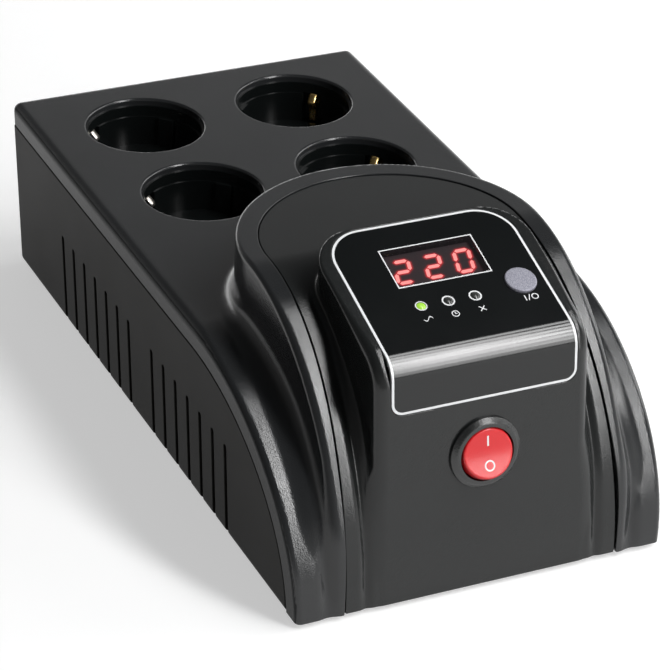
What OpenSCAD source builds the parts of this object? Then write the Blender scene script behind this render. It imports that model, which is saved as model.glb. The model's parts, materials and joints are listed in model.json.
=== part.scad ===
// Desktop voltage stabiliser: a low housing with four earthed outlets on its deck and a raised
// hood at the front, which carries a sloping display console and a round mains switch.
// X runs across the housing, -Y is the front, Z is up. The origin is on the floor, under the middle
// of the whole part, which reaches from the rocker in front to the reset button behind.

/* [Housing] */
// Width of the housing across the socket deck
deck_w = 132.4; // [130:0.2:140]
// Width of the housing at its bottom edge
base_w = 126.8; // [122:0.2:129]
// Length of the housing from front to back
body_l = 248.2; // [242:0.2:266]
// Height of the socket deck above the bottom edge
deck_h = 63.6; // [60:0.2:70]
// Wall thickness of the mouldings
wall = 2.5; // [2:0.1:3]
// Gap along the seams between the mouldings
seam_gap = 0.4; // [0.2:0.1:0.6]
// Length at the front over which the deck curves down
shoulder_run = 81.1; // [76:0.1:86]
// Depth of the cover's side lip below the deck edge
lip_h = 8.6; // [7:0.1:11]
// Length of the tongue that locates the cover inside the tray
tongue_h = 4; // [3:0.5:6]
// Thickness of that tongue
tongue_t = 1.4; // [1:0.1:1.8]

/* [Hood] */
// Width of the hood
hood_w = 101; // [98:0.5:106]
// Height of the hood above the bottom edge
hood_h = 86.5; // [82:0.5:92]
// Length at the front over which the hood curves down
hood_run = 74.1; // [70:0.1:78]
// Length of the rounded back end of the hood
hood_back = 48.5; // [44:0.5:52]
// Width of the hood's rim at its sides
rim_w = 7.2; // [6:0.1:9]
// Width of the hood's rim at its back end
rim_back_w = 8; // [6:0.1:9]
// Width added to each side of the front panel at the foot of its seam
panel_flare = 3.8; // [2:0.1:4.6]
// Width of the ledge under the rim that the front panel tucks in
ledge_w = 2; // [1.2:0.1:3]

/* [Console] */
// Width of the display console
console_w = 72.4; // [70:0.2:76]
// Distance of the console's back edge from the front of the housing
console_l = 64.1; // [63:0.1:68]
// Height of the console's back edge above the bottom edge
console_h = 97.5; // [94:0.5:102]
// Slope of the console's top, in degrees
console_tilt = 17.1; // [14:0.1:18]
// Lean of the front face back from upright, in degrees
front_lean = 6.1; // [4:0.1:8]
// Radius of the console's back corners in plan
console_corner = 15; // [10:0.5:18]
// Radius of the bend from the console's top to its front face
console_bend = 4; // [2:0.5:6]

/* [Fascia] */
// Width of the glossy label
label_w = 63; // [62:0.2:66]
// Thickness of the label
label_t = 0.5; // [0.3:0.1:0.8]
// Margin between the label and the console's back edge
label_margin = 1.4; // [1:0.1:3]
// Radius of the label's back corners
label_corner = 12.5; // [8:0.5:14]
// Height of the label's lower edge above the bottom edge
label_foot = 64; // [63:0.5:68]
// Radius of the label's lower corners
label_foot_corner = 4; // [2:0.5:6]
// Width of the display window
window_w = 31.2; // [30:0.1:33]
// Length of the display window down the slope
window_l = 15.8; // [15:0.1:17]
// Distance down the slope from the console's back edge to the window
window_drop = 12; // [10:0.1:13]
// Distance down the slope to the row of indicator lamps
lamp_drop = 36.6; // [35:0.1:39]
// Place of the first indicator lamp across the console
lamp_x = -12.2; // [-14:0.1:-11]
// Spacing of the indicator lamps
lamp_pitch = 9.2; // [8:0.1:10]
// Radius of an indicator lamp
lamp_r = 1.5; // [1.2:0.1:1.8]
// Place of the push button across the console
button_x = 22.9; // [22:0.1:24]
// Distance down the slope to the push button
button_drop = 34.2; // [32:0.1:36]
// Radius of the push button
button_r = 5.15; // [4.6:0.05:5.6]
// Travel of the push button
button_travel = 0.5; // [0.3:0.1:0.6]

/* [Mains switch] */
// Height of the switch's middle above the bottom edge
switch_z = 46; // [40:0.5:49]
// Radius of the switch's flange
switch_r = 11.9; // [11.5:0.1:13]
// Radius of the opening in which the rocker turns
rocker_hole_r = 8.95; // [8.6:0.05:9]
// Tilt of the rocker to each side of its middle position, in degrees
rocker_tilt = 12; // [9:0.5:12]

/* [Outlets] */
// Radius of an outlet's recess at its mouth
recess_r = 20; // [19.6:0.1:20.4]
// Depth of an outlet's recess below the deck
recess_depth = 17.5; // [17:0.1:18.5]
// Distance between the two columns of outlets
outlet_gap_x = 57; // [56:0.2:60]
// Distance between the two rows of outlets
outlet_gap_y = 52.9; // [52:0.1:56]
// Distance from the back of the housing to the middle of the rear outlets
outlet_inset = 33.5; // [32:0.5:35]
// Spacing of an outlet's two contact holes
contact_pitch = 19; // [18.8:0.1:19.2]
// Radius of a contact hole
contact_r = 2.6; // [2.5:0.05:2.8]

/* [Ventilation] */
// Number of slots in each of the two groups on a side
vent_count = 7; // [4:1:7]
// Spacing of the slots
vent_pitch = 10.35; // [9.6:0.05:10.6]
// Width of a slot
vent_w = 2; // [1.4:0.1:3]
// Height of the slots above the bottom edge
vent_h = 33.7; // [26:0.1:36]

/* [Base] */
// Height that the rubber feet hold the housing off the floor
foot_lift = 1.5; // [1:0.1:3]
// Radius of a rubber foot
foot_r = 6.5; // [5:0.5:8]
// Distance of the feet from the sides of the base
foot_inset_x = 13; // [12:0.5:15]
// Distance of the feet from the front and back of the base
foot_inset_y = 24; // [22:0.5:27]

/* [Transformer] */
// Width of the laminated core
core_w = 72; // [68:0.5:76]
// Height of the laminated core
core_h = 58; // [54:0.5:60]
// Thickness of the lamination stack
core_stack = 36; // [30:0.5:38]
// Width of the core's middle leg
core_leg = 24; // [22:0.5:26]
// Distance from the front of the housing to the middle of the core
core_setback = 64; // [64:0.5:68]

/* [Boards] */
// Width of the control board
board_w = 96; // [92:0.5:98]
// Length of the control board
board_l = 88; // [84:0.5:90]
// Thickness of the printed boards
board_t = 1.6; // [1.2:0.1:2]
// Height of the control board above the base plate
board_lift = 6.5; // [5:0.5:7]
// Distance from the back of the housing to the control board
board_inset = 31; // [30:0.5:33]

/* [Rear panel] */
// Place of the power inlet across the back
inlet_x = -30; // [-34:0.5:-26]
// How far the power inlet's middle lies below the outlets' cups
inlet_drop = 19.1; // [18.6:0.1:22]
// Place of the overload breaker across the back
breaker_x = 24; // [20:0.5:30]
// Travel of the breaker's reset button
reset_travel = 3; // [2:0.5:4]

/* [Hidden] */
$fn = 48;

// Overrun of every cut past the face that it leaves
over = 1;
// Steps in each curved quarter of the side profiles and outlines
arc_steps = 20;
corner_steps = 6;
// Radial room round a screw in its pilot hole, and between parts that seat on each other
thread_gap = 0.05;
seat_gap = 0.2;

// Housing, worked out
front_y = -body_l / 2;
back_y = body_l / 2;
shoulder_y = front_y + shoulder_run;
hood_y = front_y + hood_run;
deck_half = deck_w / 2;
base_half = base_w / 2;
hood_half = hood_w / 2;
panel_half = hood_half - rim_w;
panel_back = hood_back - rim_back_w;
side_lean = (deck_half - base_half) / deck_h;
widest = max(deck_w, base_w);
deck_under = deck_h - wall;
deck_edge = 3;

// Console, worked out
console_y = front_y + console_l;
console_half = console_w / 2;
label_back_y = console_y - label_margin;

// Display, measured down from the console's top face along its normal
lens_t = 1.2;
lens_gap = 0.1;
module_w = 30.2;
module_l = 14.8;
module_drop = 1.2;
module_top = lens_t + module_drop;
module_h = 5.8;
display_board_top = module_top + module_h;
display_post_r = 2.5;
display_board_w = 58;
display_board_l = 39;
display_board_drop = 10;
display_hole_inset = 3;
display_post_x = display_board_w / 2 - display_hole_inset;
display_post_drops = [display_board_drop + display_hole_inset + display_post_r / 2,
    display_board_drop + display_board_l - display_hole_inset - display_post_r / 2];
display_screw_r = 1;
display_screw_l = 5;
display_head_r = 2;
display_head_t = 1.2;
digit_w = 6.2;
digit_h = 10;
digit_pitch = 10.4;
digit_slant = 11;
stroke_w = 1.2;
stroke_t = 0.15;
stroke_gap = 0.35;
lamp_count = 3;
lamp_gap = 0.1;
lamp_proud = 0.3;
lamp_base_r = 1.9;
lamp_base_h = 1;
button_gap = 0.15;
button_proud = 0.9;
button_flange_r = 6.2;
button_flange_t = 0.8;
button_stem_r = 1.7;
tact_w = 6;
tact_h = 3.5;
tact_plunger_r = 1.6;
tact_plunger_l = 1.6;
tact_plunger_proud = 0.7;
tact_gap = 0.1;

// Mains switch, worked out
switch_flange_t = 2.2;
switch_flange_edge = 1;
switch_barrel_r = 9.9;
switch_hole_gap = 0.15;
switch_depth = 16;
switch_floor_t = 2;
rocker_gap = 0.25;
rocker_r = rocker_hole_r - rocker_gap;
rocker_end_h = 4;
rocker_mid_h = 2.2;
rocker_foot_h = 5;
pivot_r = 1;
pivot_gap = 0.06;
pivot_reach = 9.6;
terminal_w = 6.3;
terminal_t = 0.8;
terminal_l = 8;
terminal_pitch = 6;
terminal_foot = 1;

// Outlets, worked out
outlet_far_y = back_y - outlet_inset;
outlet_near_y = outlet_far_y - outlet_gap_y;
outlet_column_x = outlet_gap_x / 2;
outlet_places = [
    [-outlet_column_x, outlet_near_y], [outlet_column_x, outlet_near_y],
    [-outlet_column_x, outlet_far_y], [outlet_column_x, outlet_far_y]
];
// Turn of the contact axis of each outlet from the X axis
contact_turn = 45;
outlet_turns = [contact_turn, 180 - contact_turn, contact_turn, 180 - contact_turn];
recess_mouth_gap = 0.6;
mouth_edge = 0.8;
outlet_wall = 1.6;
outlet_r = recess_r + outlet_wall;
outlet_floor = deck_h - recess_depth;
outlet_floor_t = 3;
outlet_under = outlet_floor - outlet_floor_t;
outlet_mouth_l = 4;
outlet_mouth_z = deck_under - outlet_mouth_l;
recess_step = 0.4;
guide_w = 5.4;
guide_d = 1.6;
contact_wall = 0.8;
contact_sleeve_wall = 1.2;
contact_sleeve_l = 8;
contact_tube_l = 11;
contact_reach = contact_pitch / 2;
contact_side = contact_reach * cos(contact_turn);
contact_shift = contact_reach * sin(contact_turn);
bar_z = outlet_under - contact_tube_l;
bar_t = 1.2;
bar_w = 8;
bar_over = 5;
clip_w = 7;
clip_t = 0.8;
clip_bow = 2.2;
clip_slot_gap = 0.2;
clip_top_drop = deck_h - outlet_mouth_z;
clip_r = recess_r + clip_slot_gap;
clip_under_z = outlet_under - clip_t;
ear_reach = 25;
ear_r = 3.2;
ear_h = 3;
ear_drop = 12;
ear_screw_r = 1.3;
ear_head_r = 2.5;
ear_head_t = 1.5;
ear_screw_l = 9;
ear_hole_gap = 0.3;

// Ventilation and base, worked out
vent_middle_y = 3.1;
base_t = wall;
foot_pocket = 0.8;
post_hole_r = 1.75;
post_wall_r = 4.4;
cover_post_r = 3.5;
screw_r = 1.45;
screw_head_r = 3;
screw_head_t = 2;
screw_well_r = 3.3;
screw_web = 3;
screw_bite = 11;
cover_split = 26;
panel_split = 12;
post_margin = 0.9;
cover_post_x = min(base_half, deck_half) - wall - post_wall_r - post_margin;
cover_post_back = 10.5;
cover_post_ahead = 31;
cover_post_y = [back_y - cover_post_back, shoulder_y + cover_post_ahead];
panel_post_x = 30;
panel_post_inset = 13.5;
panel_post_y = front_y + panel_post_inset;
panel_post_h = 10;
panel_rib_t = 2;
base_front_y = front_y + wall + tongue_t + 2 * seat_gap;
base_vent_l = 30;
base_vent_count = 6;

// Transformer, worked out
core_y = front_y + core_setback;
core_base = 7.2;
core_yoke = core_leg / 2;
core_window = (core_w - 2 * core_leg) / 2;
bobbin_t = 1.2;
bobbin_gap = 0.2;
winding_margin = 0.6;
winding_build = core_window - bobbin_t - bobbin_gap - winding_margin;
winding_corner = 5;
bracket_t = 1.2;
bracket_w = 20;
bracket_foot = 13;
bracket_boss_r = 5;
bracket_screw_r = 1.6;
bracket_head_r = 3;
bracket_head_t = 1.6;
bracket_hole_gap = 0.3;
bracket_hole_x = core_w / 2 + bracket_t + bracket_foot / 2 + winding_margin;

// Control board, worked out
board_z = base_t + board_lift;
board_top = board_z + board_t;
board_back_y = back_y - board_inset;
board_mid_y = board_back_y - board_l / 2;
board_hole_inset = 4;
board_screw_r = 1.3;
board_post_r = 3;
board_screw_l = 6;
board_head_r = 2.4;
board_head_t = 1.4;
relay_count = 4;
relay_l = 19;
relay_w = 15.4;
over_relays = 6.3;
relay_h = bar_z - board_top - over_relays;
relay_pitch = 21;
relay_row = 12;
chip_l = 24;
chip_w = 7;
chip_h = 3.4;
pin_count = 8;
pin_r = 0.35;
pin_h = 1.2;
capacitor_r = 5;
capacitor_count = 3;
capacitor_h = relay_h - seat_gap;
capacitor_pitch = 13;
sink_l = 26;
sink_step = 0.6;
sink_h = relay_h - 2 * sink_step;
sink_w = 12;
sink_fin_t = 1.4;
sink_fins = 4;
tab_w = 6.3;
tab_t = 0.8;
tab_h_share = 0.592;
tab_h = relay_h * tab_h_share;
tab_pitch = 9;
tab_count = 5;
tab_foot_h = 1;
tab_row_inset = 6;

// Rear panel, worked out
inlet_z = outlet_under - inlet_drop;
inlet_w = 27;
inlet_h = 20;
inlet_flange_w = 50;
inlet_flange_h = 23;
inlet_flange_t = 2.5;
inlet_depth = 19;
inlet_wall = 1.3;
inlet_floor_t = 3;
inlet_chamfer = 5;
inlet_cut_turn = 45;
inlet_screw_reach = 20;
inlet_screw_r = 1.5;
inlet_head_r = 2.8;
inlet_head_t = 1.6;
inlet_screw_l = 9;
inlet_pin_w = 2;
inlet_pin_h = 4;
inlet_pin_l = 14;
inlet_pin_x = 7;
inlet_pin_drop = 2;
inlet_tail_l = 7;
breaker_room = 3.6;
breaker_box_h = bar_z - base_t - breaker_room;
breaker_z = base_t + breaker_box_h / 2 + seat_gap;
breaker_neck_r = 5;
breaker_neck_l = 7;
breaker_box_w = 16;
breaker_box_l = 26;
breaker_hole_gap = 0.2;
breaker_nut_r = 8;
breaker_nut_t = 2.4;
reset_r = 3;
reset_gap = 0.15;
reset_proud = 4.5;
reset_bore_l = 12;
reset_flange_r = 3.8;
reset_flange_t = 1;

// Wiring, worked out
wire_r = 1.1;
wire_z = board_top + relay_h + 2 * wire_r;
tab_top = board_top + tab_h;
tab_y = board_back_y - tab_row_inset;
tail_y = back_y - wall - inlet_depth - inlet_tail_l;
breaker_end_y = back_y - wall - breaker_box_l;
loop_l = 4;
riser_setback = 7;
riser_y = tab_y - riser_setback;
winding_half_y = core_stack / 2 + bobbin_gap + bobbin_t + winding_build;
bypass_x = core_w / 2 + bracket_t + 3 * wire_r;
behind_switch_y = core_y - winding_half_y - 2 * wire_r;
ribbon_w = 12;
ribbon_t = 0.8;
ribbon_x = -20;
ribbon_plug_h = 4;
ribbon_plug_l = 5;
ribbon_place_share = 0.128;

// Reach of the rocker's lower edge in front of the housing, and of the reset button behind it
rocker_slope = (rocker_end_h - rocker_mid_h) / rocker_r;
rocker_edge = (sqrt((1 + rocker_slope * rocker_slope) * rocker_r * rocker_r - rocker_mid_h * rocker_mid_h)
    - rocker_slope * rocker_mid_h) / (1 + rocker_slope * rocker_slope);
rocker_edge_h = rocker_mid_h + rocker_slope * rocker_edge;
front_reach = rocker_edge_h * cos(rocker_tilt + front_lean) + rocker_edge * sin(rocker_tilt + front_lean)
    - switch_z * tan(front_lean);
back_reach = breaker_neck_l - wall + reset_proud;
middle_shift = (back_reach - front_reach) / 2;

// Points of a polygon path with each corner rounded: rows of x, y and radius
function unit(v) = v / norm(v);
function corner(a, b, c, r) =
    let (u = unit(a - b), v = unit(c - b), half = acos(u * v) / 2)
    let (middle = b + unit(u + v) * (r / sin(half)))
    let (from = b + u * (r / tan(half)) - middle, to = b + v * (r / tan(half)) - middle)
    let (start = atan2(from[1], from[0]), raw = atan2(to[1], to[0]) - start)
    let (sweep = raw > 180 ? raw - 360 : raw < -180 ? raw + 360 : raw)
    [for (i = [0 : corner_steps]) let (a = start + sweep * i / corner_steps) middle + r * [cos(a), sin(a)]];
function xy(p) = [p[0], p[1]];
function rounded(path) =
    [for (i = [0 : len(path) - 1])
        let (last = path[(i + len(path) - 1) % len(path)], here = path[i], next = path[(i + 1) % len(path)])
        each (here[2] == 0 ? [xy(here)] : corner(xy(last), xy(here), xy(next), here[2]))];

// Upright slab of a Y-Z outline, centred on the middle plane
module across(width) {
    rotate([90, 0, 90]) translate([0, 0, -width / 2]) linear_extrude(width) children();
}

// Slab of an X-Z outline from one Y to another
module along(from, to) {
    translate([0, to, 0]) rotate([90, 0, 0]) linear_extrude(to - from) children();
}

// Everything stands on the rubber feet
module lifted() {
    translate([0, -middle_shift, foot_lift]) children();
}

// Frame on the console's top: X across, -Y down the slope, Z out of the face
module on_console() {
    translate([0, console_y, console_h]) rotate([console_tilt, 0, 0]) children();
}

// Frame on the front face at a height: X across, Y up the face, Z out of it
module on_front(z) {
    translate([0, front_y + z * tan(front_lean), z]) rotate([90 - front_lean, 0, 0]) children();
}

// Cross section of the housing, drawn in by an inset, with its deck edges rounded
module section(inset) {
    low = base_half - inset - side_lean * over;
    high = deck_half - inset - side_lean * inset;
    top = deck_h - inset;
    radius = deck_edge > inset ? deck_edge - inset : 0;
    polygon(rounded([[-low, -over, 0], [low, -over, 0], [high, top, radius], [-high, top, radius]]));
}

// The same cross section without its deck
module open_section(inset) {
    low = base_half - inset - side_lean * over;
    high = deck_half - inset;
    polygon([[-low, -over], [low, -over], [high, deck_h], [-high, deck_h]]);
}

// Side profile that runs level from the back and then curves down to the front
module side_profile(middle_y, run, height, inset) {
    curve = [for (i = [0 : arc_steps])
        [middle_y - (run - inset) * sin(90 * i / arc_steps), (height - inset) * cos(90 * i / arc_steps)]];
    polygon(concat([[back_y - inset, 0], [back_y - inset, height - inset]], curve));
}

module deck_profile(inset) {
    side_profile(shoulder_y, shoulder_run, deck_h, inset);
}

module seam_profile(rise) {
    side_profile(shoulder_y, shoulder_run - lip_h + rise, deck_h - lip_h + rise, 0);
}

module hood_profile(inset) {
    side_profile(hood_y, hood_run, hood_h, inset);
}

// Plan outline of the hood or of the panel in it: straight sides and a rounded back end
module hood_plan(half, back, flare) {
    curve = [for (i = [0 : 2 * arc_steps])
        [half * cos(90 * i / arc_steps), hood_y + back * sin(90 * i / arc_steps)]];
    flare_y = hood_y - hood_run / 2;
    foot_y = front_y - over;
    polygon(concat(curve, [
        [-half, flare_y], [-half - flare, foot_y], [half + flare, foot_y], [half, flare_y]
    ]));
}

module panel_plan(inset) {
    hood_plan(panel_half - inset, panel_back - inset, panel_flare);
}

// Side profile of the console
module console_profile(inset) {
    back = console_y - inset;
    lean_in = inset / cos(front_lean);
    tilt_in = inset / cos(console_tilt);
    bend_in = console_bend > inset ? console_bend - inset : 0;
    fall = tan(console_tilt);
    corner_z = (console_h - tilt_in - (console_l - lean_in) * fall) / (1 - tan(front_lean) * fall);
    corner_y = front_y + lean_in + corner_z * tan(front_lean);
    polygon(rounded([
        [back, 0, 0], [back, console_h - tilt_in - inset * fall, 0],
        [corner_y, corner_z, bend_in], [front_y + lean_in, 0, 0]
    ]));
}

// Plan outline of the console, open to the front
module console_plan(half, back, radius) {
    front = front_y - over;
    polygon(rounded([[-half, front, 0], [half, front, 0], [half, back, radius], [-half, back, radius]]));
}

module console_body(inset) {
    intersection() {
        across(console_w) console_profile(inset);
        linear_extrude(console_h + over)
            console_plan(console_half - inset, console_y - inset, console_corner - inset);
    }
}

module deck_body(inset) {
    intersection() {
        across(widest + 2 * over) deck_profile(inset);
        along(front_y, back_y) section(inset);
    }
}

module hood_body(inset) {
    intersection() {
        across(hood_w) hood_profile(inset);
        linear_extrude(hood_h + over) hood_plan(hood_half - inset, hood_back - inset, 0);
    }
}

// Each piece and its mirror image across the middle plane
module both_sides() {
    children();
    mirror([1, 0, 0]) children();
}

// A headed screw with its head's underside at the origin and its shank along +Z
module screw(shank_r, shank_l, head_r, head_t) {
    cylinder(r = shank_r, h = shank_l);
    translate([0, 0, -head_t]) cylinder(r = head_r, h = head_t);
}

// A hollow post on the base that takes a screw from below
module screw_post(split) {
    translate([0, 0, base_t / 2]) cylinder(r = post_wall_r, h = split - base_t / 2);
}

module screw_well(split) {
    translate([0, 0, -over]) cylinder(r = screw_well_r, h = split - screw_web + over);
    translate([0, 0, -over]) cylinder(r = post_hole_r, h = split + 2 * over);
}

module cover_places() {
    both_sides() for (y = cover_post_y) translate([cover_post_x, y, 0]) children();
}

module panel_places() {
    both_sides() translate([panel_post_x, panel_post_y, 0]) children();
}

module foot_places() {
    both_sides() for (y = [front_y + foot_inset_y, back_y - foot_inset_y])
        translate([base_half - foot_inset_x, y, 0]) children();
}

module board_places() {
    both_sides() for (side = [-1, 1])
        translate([board_w / 2 - board_hole_inset, board_mid_y + side * (board_l / 2 - board_hole_inset), 0])
            children();
}

module bracket_places() {
    both_sides() translate([bracket_hole_x, core_y, 0]) children();
}

// Slots through both side walls, open at the bottom edge
module side_vents() {
    drift = side_lean * vent_h;
    both_sides() for (side = [-1, 1], i = [1 : vent_count])
        translate([base_half - wall + min(drift, 0), vent_middle_y + side * i * vent_pitch - vent_w / 2, -over])
            cube([wall + abs(drift) + over, vent_w, vent_h + over]);
}

// Slots through the base plate under the transformer
module base_vents() {
    span = (base_vent_count - 1) * vent_pitch / 2;
    for (i = [0 : base_vent_count - 1])
        translate([i * vent_pitch - span - vent_w / 2, core_y - base_vent_l / 2, -over])
            cube([vent_w, base_vent_l, base_t + 2 * over]);
}

module inlet_outline(inset) {
    w = inlet_w / 2 - inset;
    h = inlet_h / 2 - inset;
    c = inlet_chamfer - inset * tan(inlet_cut_turn / 2);
    polygon([[-w, -h], [w, -h], [w, h - c], [w - c, h], [c - w, h], [-w, h - c]]);
}

// Tray that carries everything: base plate, side walls and rear wall
module bottom_tray() color([0.17, 0.17, 0.17]) lifted() difference() {
    union() {
        difference() {
            intersection() {
                across(widest + 2 * over) seam_profile(0);
                along(front_y, back_y) section(0);
            }
            along(front_y - over, back_y - wall) intersection() {
                section(wall);
                translate([-widest / 2, base_t]) square([widest, deck_h]);
            }
        }
        base_nose();
        cover_places() screw_post(cover_split);
        panel_places() screw_post(panel_split);
        board_places() translate([0, 0, base_t / 2]) cylinder(r = board_post_r, h = board_z - base_t / 2);
        bracket_places() translate([0, 0, base_t / 2])
            cylinder(r = bracket_boss_r, h = core_base - bracket_t - base_t / 2);
    }
    cover_places() screw_well(cover_split);
    panel_places() screw_well(panel_split);
    foot_places() translate([0, 0, -over]) cylinder(r = foot_r + seat_gap, h = foot_pocket + over);
    board_places() translate([0, 0, board_z - board_screw_l])
        cylinder(r = board_screw_r + thread_gap, h = board_screw_l + over);
    bracket_places() translate([0, 0, -over]) cylinder(r = bracket_screw_r + thread_gap, h = core_base + over);
    side_vents();
    base_vents();
    translate([inlet_x, 0, inlet_z]) along(back_y - wall - over, back_y + over) inlet_outline(-seat_gap);
    both_inlet_holes();
    translate([breaker_x, back_y + over, breaker_z]) rotate([90, 0, 0])
        cylinder(r = breaker_neck_r + breaker_hole_gap, h = wall + 2 * over);
}

// Front of the base plate, which reaches in between the cover's shoulders
module base_nose() {
    half = base_half - wall - seat_gap;
    translate([-half, base_front_y, 0]) cube([2 * half, shoulder_y - shoulder_run / 2 - base_front_y, base_t]);
}

module both_inlet_holes() {
    translate([inlet_x, back_y + over, inlet_z]) both_sides() translate([inlet_screw_reach, 0, 0])
        rotate([90, 0, 0]) cylinder(r = inlet_screw_r + thread_gap, h = wall + 2 * over);
}

module rubber_feet() color([0.08, 0.08, 0.08]) lifted() foot_places()
    translate([0, 0, -foot_lift]) cylinder(r = foot_r, h = foot_lift + foot_pocket);

// Cover with the socket deck, both shoulders and the hood's rim
module top_cover() color([0.2, 0.2, 0.21]) lifted() {
    difference() {
        union() {
            difference() {
                union() {
                    deck_body(0);
                    hood_body(0);
                }
                deck_body(wall);
                hood_body(wall);
                across(widest + 2 * over) seam_profile(seam_gap);
            }
            cover_tongue();
            cover_posts();
            outlet_posts();
        }
        linear_extrude(hood_h + over) panel_plan(-seam_gap);
        for (p = outlet_places) translate([p[0], p[1], 0]) recess_mouth();
        cover_places() translate([0, 0, cover_split - over])
            cylinder(r = screw_r + thread_gap, h = screw_bite + screw_web + over);
        outlet_post_places() translate([0, 0, deck_h - ear_drop - over])
            cylinder(r = ear_screw_r + thread_gap, h = ear_screw_l - ear_h + over);
    }
}

// Hole through the deck over a recess, with its upper edge eased
module recess_mouth() {
    mouth_r = recess_r + recess_mouth_gap;
    translate([0, 0, deck_under - over]) cylinder(r = mouth_r, h = wall + 2 * over, $fn = 96);
    translate([0, 0, deck_h - mouth_edge])
        cylinder(r1 = mouth_r, r2 = mouth_r + mouth_edge + over, h = mouth_edge + over, $fn = 96);
}

// Tongue that reaches down inside the tray's walls, on a rib along the cover's lip
module cover_tongue() {
    rib_rise = seam_gap + 2 * tongue_t;
    tongue_ring(wall + seat_gap, -tongue_h, rib_rise);
    tongue_ring(wall / 2, seam_gap, rib_rise);
}

// Ring inside the walls, from an outer inset to the tongue's inner face, between two rises over the seam
module tongue_ring(outer, low_rise, high_rise) {
    inner = wall + seat_gap + tongue_t;
    intersection() {
        difference() {
            across(widest + 2 * over) seam_profile(high_rise);
            across(widest + 2 * over) seam_profile(low_rise);
            translate([-widest / 2, front_y - over, -over])
                cube([widest, body_l + 2 * over, base_t + seat_gap + over]);
        }
        difference() {
            along(front_y + wall, back_y - outer) open_section(outer);
            along(front_y - over, back_y - inner) open_section(inner);
        }
    }
}

module cover_posts() {
    cover_places() translate([0, 0, cover_split])
        cylinder(r = cover_post_r, h = deck_under + wall / 2 - cover_split);
}

module outlet_post_places() {
    for (i = [0 : len(outlet_places) - 1]) translate([outlet_places[i][0], outlet_places[i][1], 0])
        rotate([0, 0, outlet_turns[i]]) both_sides() translate([ear_reach, 0, 0]) children();
}

module outlet_posts() {
    outlet_post_places() translate([0, 0, deck_h - ear_drop])
        cylinder(r = ear_r, h = ear_drop - wall / 2);
}

// Front panel with the raised console, tucked under the hood's rim
module front_panel() color([0.19, 0.19, 0.2]) lifted() {
    difference() {
        union() {
            difference() {
                union() {
                    intersection() {
                        across(hood_w) hood_profile(0);
                        linear_extrude(hood_h + over) panel_plan(0);
                    }
                    console_body(0);
                }
                across(hood_w) hood_profile(wall);
                console_body(wall);
            }
            panel_ledge();
            panel_posts();
            display_posts();
        }
        label_body(seat_gap / 2, label_t);
        on_console() console_holes();
        on_front(switch_z) translate([0, 0, -wall - over])
            cylinder(r = switch_barrel_r + switch_hole_gap, h = wall + 2 * over);
        panel_places() translate([0, 0, panel_split - over])
            cylinder(r = screw_r + thread_gap, h = panel_post_h - screw_web + over);
    }
}

// Thin flange round the panel's edge, under the cover's rim
module panel_ledge() {
    intersection() {
        difference() {
            across(hood_w) hood_profile(wall + seat_gap);
            across(hood_w) hood_profile(wall + seat_gap + tongue_t);
        }
        difference() {
            linear_extrude(hood_h + over) intersection() {
                panel_plan(-ledge_w);
                hood_plan(hood_half - wall - seat_gap, hood_back - wall - seat_gap, 0);
            }
            linear_extrude(hood_h + over) panel_plan(wall);
        }
    }
    intersection() {
        difference() {
            across(hood_w) hood_profile(wall / 2);
            across(hood_w) hood_profile(wall + seat_gap + tongue_t);
        }
        difference() {
            linear_extrude(hood_h + over) panel_plan(0);
            linear_extrude(hood_h + over) panel_plan(wall);
        }
    }
}

module panel_posts() {
    rib_y = front_y + wall / 2 + (panel_split + panel_post_h) * tan(front_lean);
    panel_places() {
        translate([0, 0, panel_split]) cylinder(r = cover_post_r, h = panel_post_h);
        translate([-panel_rib_t / 2, rib_y - panel_post_y, panel_split])
            cube([panel_rib_t, panel_post_y - rib_y, panel_post_h]);
    }
}

module display_post_places() {
    both_sides() for (drop = display_post_drops) translate([display_post_x, -drop, 0]) children();
}

module display_posts() {
    on_console() difference() {
        display_post_places() translate([0, 0, -display_board_top])
            cylinder(r = display_post_r, h = display_board_top - wall / 2);
        display_post_places() translate([0, 0, -display_board_top - over])
            cylinder(r = display_screw_r + thread_gap, h = display_screw_l - board_t + over);
    }
}

module lamp_places() {
    for (i = [0 : lamp_count - 1]) translate([lamp_x + i * lamp_pitch, -lamp_drop, 0]) children();
}

module window_box(gap, depth) {
    translate([-window_w / 2 - gap, -window_drop - window_l - gap, -depth])
        cube([window_w + 2 * gap, window_l + 2 * gap, depth + over]);
}

// Openings through the label and the console's skin
module console_holes() {
    window_box(0, wall + over);
    translate([button_x, -button_drop, -wall - over]) cylinder(r = button_r + button_gap, h = wall + 2 * over);
    lamp_places() translate([0, 0, -wall - over]) cylinder(r = lamp_r + lamp_gap, h = wall + 2 * over);
}

// Band of the console's skin that the label fills, grown by a gap at its edges
module label_body(gap, depth) {
    intersection() {
        difference() {
            across(label_w + 2 * gap) console_profile(0);
            across(label_w + 2 * gap + over) console_profile(depth);
        }
        linear_extrude(console_h + over)
            console_plan(label_w / 2 + gap, label_back_y + gap, label_corner);
        along(front_y - over, console_y) label_front(gap);
    }
}

// Outline of the label seen from the front
module label_front(gap) {
    half = label_w / 2 + gap;
    foot = label_foot - gap;
    top = console_h + over;
    polygon(rounded([[-half, top, 0], [-half, foot, label_foot_corner], [half, foot, label_foot_corner],
        [half, top, 0]]));
}

module fascia_label() color([0.03, 0.03, 0.03]) lifted() difference() {
    label_body(0, label_t);
    on_console() console_holes();
}

module display_lens() color([0.25, 0.03, 0.03, 0.6]) lifted() on_console()
    translate([lens_gap - window_w / 2, lens_gap - window_drop - window_l, -lens_t])
        cube([window_w - 2 * lens_gap, window_l - 2 * lens_gap, lens_t]);

module display_module() color([0.1, 0.1, 0.1]) lifted() on_console()
    translate([-module_w / 2, -window_drop - window_l / 2 - module_l / 2, -display_board_top])
        cube([module_w, module_l, module_h]);

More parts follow.
